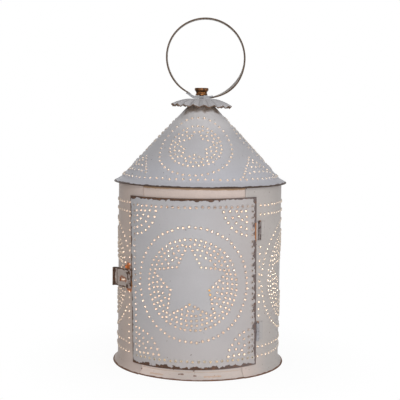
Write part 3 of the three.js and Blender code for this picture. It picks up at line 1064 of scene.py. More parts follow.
@dataclass
class Pattern:
    """Places of holes on a flat sheet, none closer to another than a punch allows."""

    pitch: float = 5.1
    closest: float = 3.65
    wobble: float = 0.22
    seed: int = 1
    places: list[Vector] = field(default_factory=list)

    def __post_init__(self) -> None:
        """Starts the pattern's own random numbers."""
        self.dice = random.Random(self.seed)

    def add(self, wanted: Vector) -> None:
        """Adds a place, a little off as a hand sets it, unless it is too close to another.

        Args:
            wanted: the exact place.
        """
        place = Vector((*(part + self.dice.gauss(0, self.wobble) for part in wanted.xy), 0))
        if all((place - other).length > self.closest for other in self.places):
            self.places.append(place)

    def row(self, start: Vector, end: Vector, pitch: float = 0.0) -> None:
        """Adds a straight row.

        Args:
            start: its first place.
            end: its last place.
            pitch: its pitch, where it isn't the pattern's own.
        """
        count = max(1, round((end - start).length / (pitch or self.pitch)))
        for i in range(count + 1):
            self.add(start.lerp(end, i / count))

    def arc(self, centre: Vector, radius: float, low: float = 0.0, high: float = 360.0,
            pitch: float = 0.0) -> None:
        """Adds an arc of places.

        Args:
            centre: its centre.
            radius: its radius.
            low: the angle in degrees at which it starts.
            high: the angle at which it ends.
            pitch: its pitch, where it isn't the pattern's own.
        """
        whole = high - low >= 360
        count = max(1, round(math.radians(high - low) * radius / (pitch or self.pitch)))
        for i in range(count if whole else count + 1):
            self.add(centre + ray(radius, low + (high - low) * i / count))

    def medallion(self, star: Star, outer: float, ring_pitch: float = 5.6,
                  aside: tuple[float, float] = (0.0, 0.0)) -> None:
        """Adds a blank star in a field of holes inside two rings.

        Args:
            star: the star, whose tips lie on the inner ring.
            outer: the radius of the outer ring.
            ring_pitch: the pitch of the outer ring.
            aside: how far the star lies off the rings' middle.
        """
        step, margin = 0.93 * self.pitch, 0.8 * self.pitch
        self.arc(star.centre, outer, pitch=ring_pitch)
        self.arc(star.centre, star.tip, star.up, star.up + 360)
        inner = Star(star.centre + Vector((*aside, 0)), star.tip - 0.72 * self.pitch, star.notch, star.up)
        for start, end in inner.edges():
            self.row(start, end, 0.92 * self.pitch)
        radius = star.tip - step
        while radius > star.notch:
            for i in range(POINTS):
                middle = star.up + HALF_ARM * (2 * i + 1)
                low, high = (inner.gap_reach(star.centre, radius, middle, side, margin) for side in (-1, 1))
                if low < 0 or high < 0:
                    continue
                if (low + high) * math.radians(radius) < margin:
                    self.add(star.centre + ray(radius, middle + (high - low) / 2))
                else:
                    self.arc(star.centre, radius, middle - low, middle + high)
            radius -= step

    def fan(self, centre: Vector, radii: Sequence[float], low: float, high: float, pitch: float) -> None:
        """Adds concentric arcs about a corner, clear of the rows that meet there.

        Args:
            centre: the corner.
            radii: the radii of the arcs.
            low: the angle in degrees at which they start.
            high: the angle at which they end.
            pitch: their pitch.
        """
        for radius in radii:
            ease = math.degrees(0.9 * self.pitch / radius)
            if low + ease < high - ease:
                self.arc(centre, radius, low + ease, high - ease, pitch)

    def chevrons(self, foot: Vector, inward: float, half_width: float, height: float, count: int) -> None:
        """Adds nested chevrons on a base line, their holes level with each other.

        Args:
            foot: the middle of the base line.
            inward: the direction in degrees from the base line to the tip.
            half_width: half the width of the largest chevron.
            height: its height.
            count: how many there are.
        """
        tip = foot + ray(height, inward)
        for side in (-90, 90):
            self.row(tip, foot + ray(half_width, inward + side))
        for level in range(1, count):
            middle = foot.lerp(tip, level / count)
            for i in range(1, count - level + 1):
                reach = half_width * (1 - (level + i) / count)
                for side in (-90, 90):
                    self.add(middle + ray(reach, inward + side))

    def keep(self, wanted: Callable[[Vector], bool]) -> None:
        """Drops the places that aren't wanted."""
        self.places = [place for place in self.places if wanted(place)]


@dataclass
class PunchedSheet:
    """A flat sheet with burred holes, made from its outline and its pattern."""

    pattern: Pattern
    punch: Punch
    plain_holes: list[tuple[float, float, float]] = field(default_factory=list)
    plain_sides: int = 16
    tries: int = 12

    def filled(self, outline: Outline) -> BMesh:
        """Fills the outline round the holes.

        Args:
            outline: adds the sheet's outline to a bmesh as one face.

        Returns:
            The flat sheet with open holes.
        """
        holes = [(p.x, p.y, self.punch.base, self.punch.sides) for p in self.pattern.places]
        holes += [(*hole, self.plain_sides) for hole in self.plain_holes]
        for attempt in range(self.tries):
            dice = random.Random(attempt)
            bm = bmesh.new()
            outline(bm)
            wanted = sum(face.calc_area() for face in bm.faces)
            unface(bm)
            for x, y, radius, sides in holes:
                turn = Matrix.Rotation(dice.uniform(0, math.pi), 4, "Z")
                bmesh.ops.create_circle(bm, cap_ends=False, radius=radius, segments=sides,
                                        matrix=Matrix.Translation((x, y, 0)) @ turn)
                wanted -= 0.5 * sides * radius ** 2 * math.sin(2 * math.pi / sides)
            fill(bm)
            area = sum(face.calc_area() for face in bm.faces)
            if abs(area - wanted) < NEAR * wanted:
                return bm
            bm.free()
        raise RuntimeError("the sheet's outline can't be filled round its holes")

    def raise_burrs(self, bm: BMesh) -> None:
        """Draws the edge of each punched hole up and in to a burr.

        Args:
            bm: the flat sheet with open holes.
        """
        tree = KDTree(len(self.pattern.places))
        for i, place in enumerate(self.pattern.places):
            tree.insert(place, i)
        tree.balance()

        def round_hole(vert: BMVert) -> bool:
            """Whether a vertex lies on a punched hole."""
            return tree.find(vert.co)[2] < 1.05 * self.punch.base

        edges = [e for e in bm.edges if e.is_boundary and all(round_hole(v) for v in e.verts)]
        verts, _ = extruded(bm, edges)
        dice = random.Random(len(self.pattern.places))
        heights = [self.punch.height * dice.uniform(0.75, 1.15) for _ in self.pattern.places]
        for vert in verts:
            centre, index, distance = tree.find(vert.co)
            out = (vert.co - centre) * (self.punch.rim / distance)
            vert.co = centre + out + Vector((0, 0, heights[index]))


def sheet_outline(left: float, right: float, low: float, high: float) -> Outline:
    """An outline for a rectangular sheet.

    Args:
        left: the left end.
        right: the right end.
        low: the lower edge.
        high: the upper edge.

    Returns:
        The function that adds the outline.
    """
    def outline(bm: BMesh) -> None:
        """Adds the rectangle as one face.

        Args:
            bm: the mesh to add to.
        """
        size = Matrix.Diagonal(((right - left) / 2, (high - low) / 2, 1, 1))
        shift = Matrix.Translation(((left + right) / 2, (low + high) / 2, 0))
        bmesh.ops.create_grid(bm, x_segments=1, y_segments=1, size=1.0, matrix=shift @ size)
    return outline


def notched_outline(left: float, right: float, low: float, high: float, depths: tuple[float, float],
                    notch: tuple[float, float]) -> Outline:
    """An outline for a rectangular sheet with a notch in both its ends.

    Args:
        left: the left end.
        right: the right end.
        low: the lower edge.
        high: the upper edge.
        depths: the depths of the left and the right notch.
        notch: the heights between which the notches lie.

    Returns:
        The function that adds the outline.
    """
    def outline(bm: BMesh) -> None:
        """Adds the notched sheet as one face.

        Args:
            bm: the mesh to add to.
        """
        sheet_outline(left, right, low, high)(bm)
        first, last = left + depths[0], right - depths[1]
        for x in (first, last):
            cut(bm, (x, 0, 0), (1, 0, 0))
        for y in notch:
            cut(bm, (0, y, 0), (0, 1, 0))
        gone = []
        for face in bm.faces:
            middle = face.calc_center_median()
            if notch[0] < middle.y < notch[1] and not first < middle.x < last:
                gone.append(face)
        bmesh.ops.delete(bm, geom=gone, context="FACES")
        bmesh.ops.dissolve_faces(bm, faces=bm.faces[:])
    return outline


# Sub-assemblies


@dataclass
class BodyCase:
    """The round body: punched wrapper, header strip and sill strip."""

    radius: float = 85.0
    height: float = 191.6
    foot_reach: float = 5.0
    foot_height: float = 8.0
    opening: float = 36.4
    windows: tuple[float, float] = (40.78, 43.5)
    lap: float = 41.8
    sill_lap: float = 38.4
    strip_radius: float = 84.1
    header_low: float = 169.6
    sill_high: float = 20.5
    sheet: float = 0.5
    star_height: float = 95.2
    star_size: tuple[float, float] = (45.0, 20.4)
    star_ring: float = 56.6
    stars: tuple[float, ...] = (90.0, 182.5, 275.3)
    staple: float = 306.32
    staple_legs: tuple[float, float] = (-2.2, 2.2)
    leg_hole: float = 1.15
    border: float = 49.7
    border_pitch: float = 7.0
    rows: tuple[float, ...] = (170.8, 161.7, 28.2, 18.7)
    row_pitch: float = 6.3
    hinges: float = 51.5
    hinge_clear: tuple[float, float] = (8.5, 11.5)
    inlet: tuple[float, float] = (180.0, 13.0)
    inlet_hole: float = 3.5
    clear: float = 7.5
    slice_angle: float = 4.0
    foot_slices: tuple[float, ...] = (1.0, 2.2, 3.6, 5.4)

    def flare(self, z: float) -> float:
        """How much further out the wall is at a height, because of the foot."""
        share = max(0.0, 1 - z / self.foot_height)
        return self.foot_reach * share ** 2.2

    def along(self, azimuth: float) -> float:
        """The flat distance of an azimuth from the middle of the door."""
        return math.radians(azimuth) * self.radius

    def pattern(self) -> Pattern:
        """Sets out the wrapper's holes: border rows and three medallions.

        Returns:
            The holes, clear of the inlet, the staple and the hinges.
        """
        pattern = Pattern(seed=11)
        start, end = self.along(self.border), self.along(360 - self.border)
        for z in self.rows:
            pattern.row(Vector((start, z, 0)), Vector((end, z, 0)), self.row_pitch)
        for x in (start, end):
            pattern.row(Vector((x, self.rows[-1], 0)), Vector((x, self.rows[0], 0)), self.border_pitch)
        for azimuth in self.stars:
            centre = Vector((self.along(azimuth), self.star_height, 0))
            pattern.medallion(Star(centre, *self.star_size), self.star_ring)
        inlet = Vector((self.along(self.inlet[0]), self.inlet[1], 0))
        staple = Vector((self.along(self.staple), HASP_HEIGHT, 0))
        hinges = [Vector((self.along(self.hinges), z, 0)) for z in HINGE_HEIGHTS]
        beside, above = self.hinge_clear
        pattern.keep(lambda p: start - 1 < p.x < end + 1)
        pattern.keep(lambda p: all((p - other).length > self.clear for other in (inlet, staple)))
        pattern.keep(lambda p: all(abs(p.x - h.x) > beside or abs(p.y - h.y) > above for h in hinges))
        return pattern

    def wrapper(self) -> BMesh:
        """Builds the punched wrapper.

        Returns:
            The wrapper.
        """
        left, right = self.along(self.opening), self.along(360 - self.opening)
        holes = [(self.along(self.inlet[0]), self.inlet[1], self.inlet_hole)]
        for leg in self.staple_legs:
            holes.append((self.along(self.staple) + leg, HASP_HEIGHT - SLOT_DROP, self.leg_hole))
        sheet = PunchedSheet(self.pattern(), Punch(), holes)
        depths = tuple(self.along(window - self.opening) for window in self.windows)
        notch = (self.sill_high, self.header_low)
        bm = sheet.filled(notched_outline(left, right, 0.0, self.height, depths, notch))
        step = self.along(self.slice_angle)
        for i in range(1, int((right - left) / step)):
            cut(bm, (left + i * step, 0, 0), (1, 0, 0))
        for z in (*self.foot_slices, self.foot_height):
            cut(bm, (0, z, 0), (0, 1, 0))
        sheet.raise_burrs(bm)
        thicken(bm, self.sheet)
        key_flat(bm)
        shift_flat(bm, Vector(((left + right) / 2, self.height / 2, 0)))
        roll(bm, cylinder_roll(self.radius, self.flare))
        return bm

    def strip(self, low: float, high: float, half: float) -> BMesh:
        """Builds a curved strip.

        Args:
            low: the height of its lower edge.
            high: the height of its upper edge.
            half: the azimuth to which it reaches on both sides.

        Returns:
            The strip.
        """
        half_along = math.radians(half) * self.strip_radius
        bm = plate(half_along, (high - low) / 2, self.sheet, (36, 12), 0.12)
        move(bm, (0, (low + high) / 2, 0))
        roll(bm, cylinder_roll(self.strip_radius, self.flare))
        return bm

    def build(self) -> None:
        """Makes and dresses the body's pieces."""
        half = self.along(180 - self.opening)
        by_hasp = self.along(self.staple - 180)
        rust, tan = (0.5, 0.15, 0.035), (0.55, 0.33, 0.2)
        stains = (
            Stain(by_hasp + 2.5, 10.0, 1.0, 4.0, rust, upright=True),
            Stain(by_hasp - 1.0, 9.0, 3.0, 1.8, rust),
            Stain(by_hasp + 4.0, -13.5, 3.0, 1.8, rust, strength=0.85),
            Stain(half - 10.0, -2.0, 8.0, 1.0, rust, upright=True),
        )
        # The wrapper's burr tips are painted pale as painted light from the bulb
        paint = WrapperPaint("painted_wrapper", WARM_GREY, WARM_GREY_SHADE, bare=FOOT_RUST, inside=INSIDE,
                             burr=LAMPLIT_BURR, skirt_shade=0.06, stains=stains,
                             wear=EdgeWear(half, self.height / 2, bottom=1.1, least=0.8, most=1.2))
        settle("body_wrapper", self.wrapper(), paint.material(), Rides.LANTERN, Slot.PAINT, ["body_shell"])
        half_header = math.radians(self.lap) * self.strip_radius
        # The header's tan band along its top edge is painted warm light leaking under the roof's brim; it
        # takes the cream paint's tan bare and rust colours, which its chips take too
        glow = EdgeWear(half_header, (self.height - self.header_low) / 2, top=4.4, least=0.92, most=1.08)
        cream = Paint("cream_strip", CREAM, CREAM_SHADE, bare=(0.44, 0.29, 0.18), rust=(0.52, 0.34, 0.2),
                      chips=0.72, inside=INSIDE, wear=glow).material()
        settle("header_strip", self.strip(self.header_low, self.height, self.lap), cream, Rides.LANTERN,
               Slot.CREAM, ["header_band"])
        half_sill = math.radians(self.sill_lap) * self.strip_radius
        specks = (
            Stain(0.0, -2.6, 52.0, 0.4, (0.5, 0.33, 0.22), strength=0.42),
            Stain(-9.0, -5.0, 2.0, 0.8, FOOT_RUST, strength=0.85),
            Stain(5.0, -6.0, 1.2, 0.7, FOOT_RUST, strength=0.8),
            Stain(22.0, -6.6, 8.0, 0.7, tan, strength=0.55),
            Stain(-34.0, -7.0, 7.0, 0.6, tan, strength=0.5),
        )
        edge = EdgeWear(half_sill, self.sill_high / 2, bottom=1.1, least=0.8, most=1.2)
        foot = SillPaint("cream_sill", (0.605, 0.535, 0.502), (0.515, 0.45, 0.415), bare=FOOT_RUST,
                         chips=0.69, inside=INSIDE, stains=specks, wear=edge).material()
        settle("sill_strip", self.strip(0.0, self.sill_high, self.sill_lap), foot, Rides.LANTERN,
               Slot.CREAM, ["sill_band"])


@dataclass
class Roof:
    """The punched cone with its brim, and the fluted collar."""

    knee: tuple[float, float] = (82.0, 194.55)
    brim: tuple[float, float] = (90.0, 189.75)
    top: tuple[float, float] = (7.6, 274.35)
    sheet: float = 0.5
    seam: float = 150.0
    seam_clear: float = 2.2
    tip: float = 9.0
    highest: float = 34.0
    rim_slant: float = 117.6
    rim_holes: int = 70
    star_slant: float = 74.5
    star_size: tuple[float, float] = (26.2, 11.8)
    star_ring: float = 37.7
    ring_pitch: float = 6.0
    stars: tuple[float, ...] = (-1.0, 114.0, 245.0)
    chevron_size: tuple[float, float] = (30.0, 24.0)
    chevron_count: int = 4
    chevrons: tuple[float, ...] = (57.0, 180.0, 302.5)
    sides: int = 72
    collar_flat: float = 12.0
    collar_rim: float = 31.0
    collar_top: float = 275.25
    collar_drop: float = 7.6
    collar_dome: float = 1.6
    collar_tilt: float = 0.03
    flutes: int = 18
    flute_sides: int = 12
    flute_depth: float = 1.55
    flute_reach: float = 0.9

    def __post_init__(self) -> None:
        """Works out the cone's slant."""
        run, rise = self.knee[0] - self.top[0], self.top[1] - self.knee[1]
        self.sine = run / math.hypot(run, rise)
        self.cosine = rise / math.hypot(run, rise)
        self.apex = self.top[1] + self.top[0] * self.cosine / self.sine

    def turn(self, azimuth: float) -> float:
        """The direction in the flat sheet, in degrees, of an azimuth after the seam."""
        return ((azimuth - self.seam) % 360) * self.sine

    def flat_place(self, azimuth: float, slant: float) -> Vector:
        """The flat place of a point on the cone."""
        return ray(slant, self.turn(azimuth))

    def cone_roll(self, flat: Vector) -> Vector:
        """Rolls a flat place up into the cone.

        Args:
            flat: the flat place.

        Returns:
            Its place in space.
        """
        slant = math.hypot(flat.x, flat.y)
        azimuth = math.degrees(math.atan2(flat.y, flat.x) % (2 * math.pi)) / self.sine + self.seam
        radius = slant * self.sine + flat.z * self.cosine
        return polar(radius, azimuth, self.apex - slant * self.cosine + flat.z * self.sine)

    def pattern(self) -> Pattern:
        """Sets out the cone's holes: a rim row, three medallions and chevrons between them.

        Returns:
            The holes, clear of the seam.
        """
        pattern = Pattern(seed=23)
        for i in range(self.rim_holes):
            pattern.add(self.flat_place(self.seam + (i + 0.5) * 360 / self.rim_holes, self.rim_slant))
        for azimuth in self.stars:
            centre = self.flat_place(azimuth, self.star_slant)
            star = Star(centre, *self.star_size, self.turn(azimuth) + 180)
            pattern.medallion(star, self.star_ring, self.ring_pitch)
        for azimuth in self.chevrons:
            foot = self.flat_place(azimuth, self.rim_slant - 3)
            pattern.chevrons(foot, self.turn(azimuth) + 180, *self.chevron_size, self.chevron_count)
        end = ray(1.0, 360 * self.sine)
        across = Vector((-end.y, end.x, 0))

        def clear_of_seam(place: Vector) -> bool:
            """Whether a place is on the cone and clear of its seam.

            Args:
                place: the flat place.

            Returns:
                True where it is.
            """
            inside = self.rim_slant + 1 > place.length > self.highest
            by_start = place.x >= 0 and place.y <= self.seam_clear
            by_end = end.dot(place) > 0 and across.dot(place) >= -self.seam_clear
            return inside and not by_start and not by_end

        pattern.keep(clear_of_seam)
        return pattern

    def cone(self) -> BMesh:
        """Builds the punched cone with its brim.

        Returns:
            The roof's sheet.
        """
        first, last = self.tip / self.sine, self.knee[0] / self.sine
        whole = math.radians(360 * self.sine)

        def outline(bm: BMesh) -> None:
            """Adds the cone's flat sector as one face.

            Args:
                bm: the mesh to add to.
            """
            ends = [bm.verts.new((first, 0, 0)), bm.verts.new((last, 0, 0))]
            edge = bm.edges.new(ends)
            bmesh.ops.spin(bm, geom=[*ends, edge], cent=(0, 0, 0), axis=(0, 0, 1), dvec=(0, 0, 0),
                           angle=whole, steps=self.sides, use_duplicate=False)
            bmesh.ops.dissolve_faces(bm, faces=bm.faces[:])

        sheet = PunchedSheet(self.pattern(), Punch())
        bm = sheet.filled(outline)
        for i in range(1, self.sides):
            angle = whole * i / self.sides
            cut(bm, (0, 0, 0), (-math.sin(angle), math.cos(angle), 0))
        sheet.raise_burrs(bm)
        layer = bm.verts.layers.float_vector.new(FLAT)
        for vert in bm.verts:
            vert[layer] = Vector((0, last - math.hypot(*vert.co.xy), vert.co.z))
        roll(bm, self.cone_roll)
        bmesh.ops.remove_doubles(bm, verts=bm.verts[:], dist=0.02)
        outward(bm)
        self.add_brim(bm, layer)
        thicken(bm, self.sheet)
        return bm

    def add_brim(self, bm: BMesh, layer: bmesh.types.BMLayerItem) -> None:
        """Flares the cone's lower edge out to the brim and closes its top to the stud.

        Args:
            bm: the rolled cone.
            layer: the flat coordinates' layer.
        """
        bottom = [e for e in bm.edges if e.is_boundary and all(v[layer].y < 0.1 for v in e.verts)]
        top = [e for e in bm.edges
               if e.is_boundary and all(math.hypot(*v.co.xy) < 2 * self.tip for v in e.verts)]
        (knee_r, knee_z), (brim_r, brim_z) = self.knee, self.brim
        rows = [(knee_r + 0.6, knee_z - 0.5), (knee_r + 1.5, knee_z - 1.1), (knee_r + 2.8, knee_z - 1.9),
                (brim_r - 2.0, brim_z + 1.1), (brim_r - 0.5, brim_z + 0.3), (brim_r - 0.05, brim_z - 0.2),
                (brim_r - 0.1, brim_z - 0.6)]
        walked = 0.0
        before = Vector((knee_r, knee_z))
        for radius, z in rows:
            verts, bottom = extruded(bm, bottom)
            walked += (Vector((radius, z)) - before).length
            before = Vector((radius, z))
            for vert in verts:
                vert.co = Vector((vert.co.x, vert.co.y, 0)).normalized() * radius + Vector((0, 0, z))
                vert[layer] = Vector((0, -walked, 0))
        for radius in (self.top[0], STUD_HOLE):
            verts, top = extruded(bm, top)
            for vert in verts:
                out = Vector((vert.co.x, vert.co.y, 0)).normalized() * radius
                vert.co = out + Vector((0, 0, self.top[1]))
        outward(bm)

    def collar(self) -> BMesh:
        """Builds the fluted collar.

        Returns:
            The collar.
        """
        bm = bmesh.new()
        count = self.flutes * self.flute_sides
        bmesh.ops.create_circle(bm, cap_ends=False, radius=STUD_HOLE, segments=count,
                                matrix=Matrix.Translation((0, 0, self.collar_top)))
        edges = bm.edges[:]
        layer = bm.verts.layers.float_vector.new(FLAT)
        across = self.collar_rim - self.collar_flat
        rings = (7.0, 11.0, self.collar_flat, 13.2, 15.0, 18.0, 21.0, 24.0, 27.0, 29.5, self.collar_rim)
        for radius in rings:
            verts, edges = extruded(bm, edges)
            share = max(0.0, (radius - self.collar_flat) / across)
            for vert in verts:
                angle = math.atan2(vert.co.y, vert.co.x)
                wave = math.cos(self.flutes * angle)
                pleat = 2 / math.pi * math.asin(0.96 * wave)
                reach = radius + self.flute_reach * share ** 3 * wave
                fall = self.collar_drop * share ** self.collar_dome
                z = self.collar_top - fall + self.flute_depth * min(1.0, 1.25 * share) * pleat
                x, y = reach * math.cos(angle), reach * math.sin(angle)
                vert.co = Vector((x, y, z - self.collar_tilt * share * x))
                vert[layer] = Vector((pleat * min(1.0, 3 * share), self.collar_rim - radius, 0))
        outward(bm)
        if sum(face.normal.z for face in bm.faces) < 0:
            bmesh.ops.reverse_faces(bm, faces=bm.faces[:])
        thicken(bm, self.sheet)
        return bm

    def build(self) -> None:
        """Makes and dresses the roof's pieces."""
        # The roof's burr tips are painted pale as painted light from the bulb
        paint = RoofPaint("painted_roof", (0.505, 0.495, 0.518), GREY_SHADE, bare=(0.062, 0.038, 0.029),
                          inside=ROOF_INSIDE, burr=LAMPLIT_BURR, skirt_shade=0.12)
        settle("roof_sheet", self.cone(), paint.material(), Rides.LANTERN, Slot.PAINT, ["roof_cone"])
        edge = CollarPaint("painted_collar", GREY, GREY_SHADE, bare=(0.17, 0.11, 0.075),
                           wear=EdgeWear(bottom=0.9, least=0.4)).material()
        settle("pleated_collar", self.collar(), edge, Rides.LANTERN, Slot.PAINT, ["fluted_collar"])


@dataclass
class TopFittings:
    """The brass spool nut and the stud's end above the ring."""

    low: float = 278.65
    height: float = 7.9
    flange: float = 7.25
    foot: float = 6.4
    waist: float = 5.65
    waist_steps: int = 6
    bore: float = 2.65
    stud: float = 2.4
    stud_low: float = 265.1
    stud_high: float = 286.4

    def build(self) -> None:
        """Makes and dresses the nut and the stud."""
        z, top = self.low, self.low + self.height
        profile = [(self.bore, z), (self.foot - 0.4, z), (self.foot, z + 0.4), (self.foot - 0.25, z + 1.0)]
        for i in range(self.waist_steps + 1):
            share = i / self.waist_steps
            profile.append((self.waist + 0.55 * (2 * share - 1) ** 2, z + 1.3 + 2.9 * share))
        profile += [
            (self.flange - 0.35, z + 5.0), (self.flange, z + 5.4), (self.flange, top - 0.7),
            (self.flange - 0.3, top - 0.2), (self.flange - 0.9, top), (3.6, top), (self.bore, top - 0.8),
        ]
        brass = Metal("aged_brass_nut", (0.245, 0.1, 0.03), (0.055, 0.026, 0.013), 0.85, (0.25, 0.45), 3.0)
        settle("spool_nut", turned(profile), brass.material(), Rides.LANTERN, Slot.BRASS, ["finial_nut"])
        low, high = self.stud_low, self.stud_high
        rod = [(0.0, low), (self.stud - 0.4, low), (self.stud, low + 0.4), (self.stud, high - 0.5),
               (self.stud - 0.3, high - 0.1), (0.0, high)]
        settle("stud_end", turned(rod, 32), brass.material(), Rides.LANTERN, Slot.BRASS, ["top_stud"])


@dataclass
class CarryRing:
    """A strip bent into a ring, its ends lapped under the nut."""

    radius: float = 40.75
    lean: float = 3.4
    flat: float = 7.0
    width: float = 12.0
    thickness: float = 1.3
    ply_gap: float = 0.2
    laps: tuple[float, float] = (16.0, 12.0)
    step: float = 110.0
    seat: float = 275.55
    swivel: float = 5.0
    twists: tuple[tuple[float, float, float], ...] = ((44.0, 26.0, 11.0), (305.0, 38.0, 3.5))
    steps: int = 180

    def __post_init__(self) -> None:
        """Works out the strip's ends and its flat length."""
        before, after = self.laps
        self.first = math.asin((-before - self.lean) / self.radius)
        self.last = 2 * math.pi + math.asin((after - self.lean) / self.radius)
        self.half = (self.last - self.first) * self.radius / 2

    def bent(self, angle: float) -> Vector:
        """Follows the middle of the strip from its lower end to its upper one.

        Args:
            angle: the angle round the ring in radians.

        Returns:
            The place in space.
        """
        lap_start = 2 * math.pi + self.first
        step = math.radians(self.step)
        lift = (self.thickness + self.ply_gap) * smooth(angle, lap_start - step, lap_start - step / 5)
        radius = self.radius - lift
        x = self.lean + radius * math.sin(angle)
        rise = radius - radius * math.cos(angle)
        free = smooth(abs(x), self.flat, 2 * self.flat) if math.cos(angle) > 0 else 1.0
        return Vector((x, 0, self.seat + self.thickness / 2 + lift + rise * free))

    def twisted(self, place: float) -> float:
        """The strip's own turn, in radians, at a place in degrees round the ring."""
        return sum(math.radians(turn) * math.exp(-((place - at) / spread) ** 2)
                   for at, spread, turn in self.twists)

    def strip(self) -> BMesh:
        """Builds the bent strip with the stud's hole through both its ends.

        Returns:
            The ring.
        """
        bm = bmesh.new()
        sheet_outline(-self.half, self.half, -self.width / 2, self.width / 2)(bm)
        unface(bm)
        for whole_turn in (0.0, 2 * math.pi):
            angle = whole_turn + math.asin(-self.lean / self.radius)
            along = (angle - self.first) * self.radius - self.half
            bmesh.ops.create_circle(bm, cap_ends=False, radius=STUD_HOLE, segments=20,
                                    matrix=Matrix.Translation((along, 0, 0)) @ HOLE_TURN)
        fill(bm)
        for i in range(1, self.steps):
            cut(bm, (self.half * (2 * i / self.steps - 1), 0, 0), (1, 0, 0))
        thicken(bm, self.thickness)
        soften(bm, 0.2)
        key_flat(bm)

        def bend(flat: Vector) -> Vector:
            """Bends and twists the flat strip.

            Args:
                flat: a flat place.

            Returns:
                Its place in space.
            """
            angle = self.first + (flat.x + self.half) / self.radius
            ahead = (self.bent(angle + 0.01) - self.bent(angle - 0.01)).normalized()
            across = Matrix.Rotation(self.twisted(math.degrees(angle)), 3, ahead) @ Vector((0, 1, 0))
            return self.bent(angle) + across * flat.y + ahead.cross(across) * (flat.z + self.thickness / 2)

        roll(bm, bend)
        bmesh.ops.rotate(bm, cent=(0, 0, 0), matrix=Matrix.Rotation(math.radians(self.swivel), 3, "Z"),
                         verts=bm.verts[:])
        outward(bm)
        return bm

    def build(self) -> None:
        """Makes and dresses the ring."""
        paint = RingPaint("painted_ring", (0.33, 0.295, 0.27), (0.25, 0.215, 0.19),
                          bare=(0.10, 0.067, 0.045), rust=(0.22, 0.135, 0.08), chips=0.6, end=self.half,
                          wear=EdgeWear(self.half, self.width / 2, bottom=0.9, top=0.9, least=0.6))
        settle("ring_strip", self.strip(), paint.material(), Rides.RING, Slot.PAINT, ["carry_ring"])


@dataclass
class Door:
    """The curved punched door with a hemmed edge, sagging a little on its hinges."""

    radius: float = 87.0
    half_along: float = 69.9
    lean: float = 1.75
    sag: float = 0.65
    widening: float = 0.00013
    low: float = 10.4
    high: float = 179.0
    hem: float = 4.5
    sheet: float = 0.3
    fold: float = 0.55
    plies: float = 1.2
    slice_length: float = 4.0
    middle: float = 0.8
    border: tuple[float, float] = (63.5, 75.8)
    border_pitch: float = 5.8
    star: tuple[float, float, float] = (44.7, 20.3, 90.5)
    star_aside: tuple[float, float] = (-2.2, 1.1)
    star_ring: float = 56.4
    fan_radii: tuple[float, ...] = (6.6, 11.2, 16.2, 22.4, 28.8)
    fan_pitch: float = 5.9

    def pattern(self) -> Pattern:
        """Sets out the door's holes round its middle: a medallion, border rows and corner fans.

        Returns:
            The holes.
        """
        pattern = Pattern(seed=5)
        centre = Vector((self.middle, 0.0, 0))
        side, level = self.border
        pattern.medallion(Star(centre, *self.star), self.star_ring, aside=self.star_aside)
        for sign in (-1, 1):
            for start, end in (((-side, sign * level), (side, sign * level)),
                               ((sign * side, -level), (sign * side, level))):
                pattern.row(centre + Vector((*start, 0)), centre + Vector((*end, 0)), self.border_pitch)
        for x, y, low, shift in ((-1, 1, 270, 0.0), (1, 1, 180, -3.0), (1, -1, 90, 0.0), (-1, -1, 0, 0.0)):
            corner = centre + Vector((x * side + shift, y * level, 0))
            pattern.fan(corner, self.fan_radii, low, low + 90, self.fan_pitch)
        return pattern

    def panel(self) -> BMesh:
        """Builds the panel.

        Returns:
            The door as it hangs.
        """
        left, top = self.half_along - self.fold, (self.high - self.low) / 2 - self.fold
        sheet = PunchedSheet(self.pattern(), Punch())
        bm = sheet.filled(sheet_outline(-left, left, -top, top))
        for i in range(1, int(2 * left / self.slice_length) + 1):
            cut(bm, (-left + i * self.slice_length, 0, 0), (1, 0, 0))
        sheet.raise_burrs(bm)
        self.fold_hem(bm, left, top)
        thicken(bm, self.sheet)
        key_flat(bm)
        roll(bm, self.hung)
        move(bm, (0, (self.low + self.high) / 2, 0))
        roll(bm, cylinder_roll(self.radius))
        return bm

    def hung(self, flat: Vector) -> Vector:
        """Where a flat place lies in the door as it hangs: leaning, sagging and widest at its top."""
        along = flat.x * (1 + self.widening * flat.y) - flat.y * math.tan(math.radians(self.lean))
        return Vector((along, flat.y + flat.x * math.tan(math.radians(self.sag)), flat.z))

    def fold_hem(self, bm: BMesh, left: float, top: float) -> None:
        """Folds the sheet's border back behind it.

        Args:
            bm: the flat sheet.
            left: half the length of its flat face.
            top: half the height of its flat face.
        """
        def on_border(vert: BMVert) -> bool:
            """Whether a vertex lies on the sheet's border."""
            return abs(vert.co.x) > left - 1e-3 or abs(vert.co.y) > top - 1e-3

        edges = [e for e in bm.edges if e.is_boundary and all(on_border(v) for v in e.verts)]
        grown, deep = 0.0, 0.0
        bends = ((0.4, 0.16), (self.fold, 0.6), (0.4, 1.04), (0.0, self.plies),
                 (self.fold - self.hem, self.plies))
        for out, depth in bends:
            verts, edges = extruded(bm, edges)
            scale = ((left + out) / (left + grown), (top + out) / (top + grown), 1)
            bmesh.ops.scale(bm, vec=scale, verts=verts)
            bmesh.ops.translate(bm, vec=(0, 0, deep - depth), verts=verts)
            grown, deep = out, depth

    def build(self) -> None:
        """Makes and dresses the door."""
        up = (self.high - self.low) / 2
        wear = EdgeWear(self.half_along, up, left=1.5, right=3.4, bottom=3.0, top=2.2, least=0.45)
        by_hinge = Stain(self.half_along - 0.6, 49.6, 7.5, 1.7, (0.42, 0.165, 0.06), upright=True,
                         strength=0.9)
        by_hasp = Stain(0.4 - self.half_along, -6.9, 4.4, 0.8, (0.52, 0.21, 0.06), upright=True)
        paint = DoorPaint("painted_door", GREY, GREY_SHADE, bare=(0.096, 0.056, 0.04), chips=0.72,
                          inside=INSIDE, wear=wear, stains=(by_hinge, by_hasp))
        settle("punched_door", self.panel(), paint.material(), Rides.DOOR, Slot.PAINT, ["door_panel"])


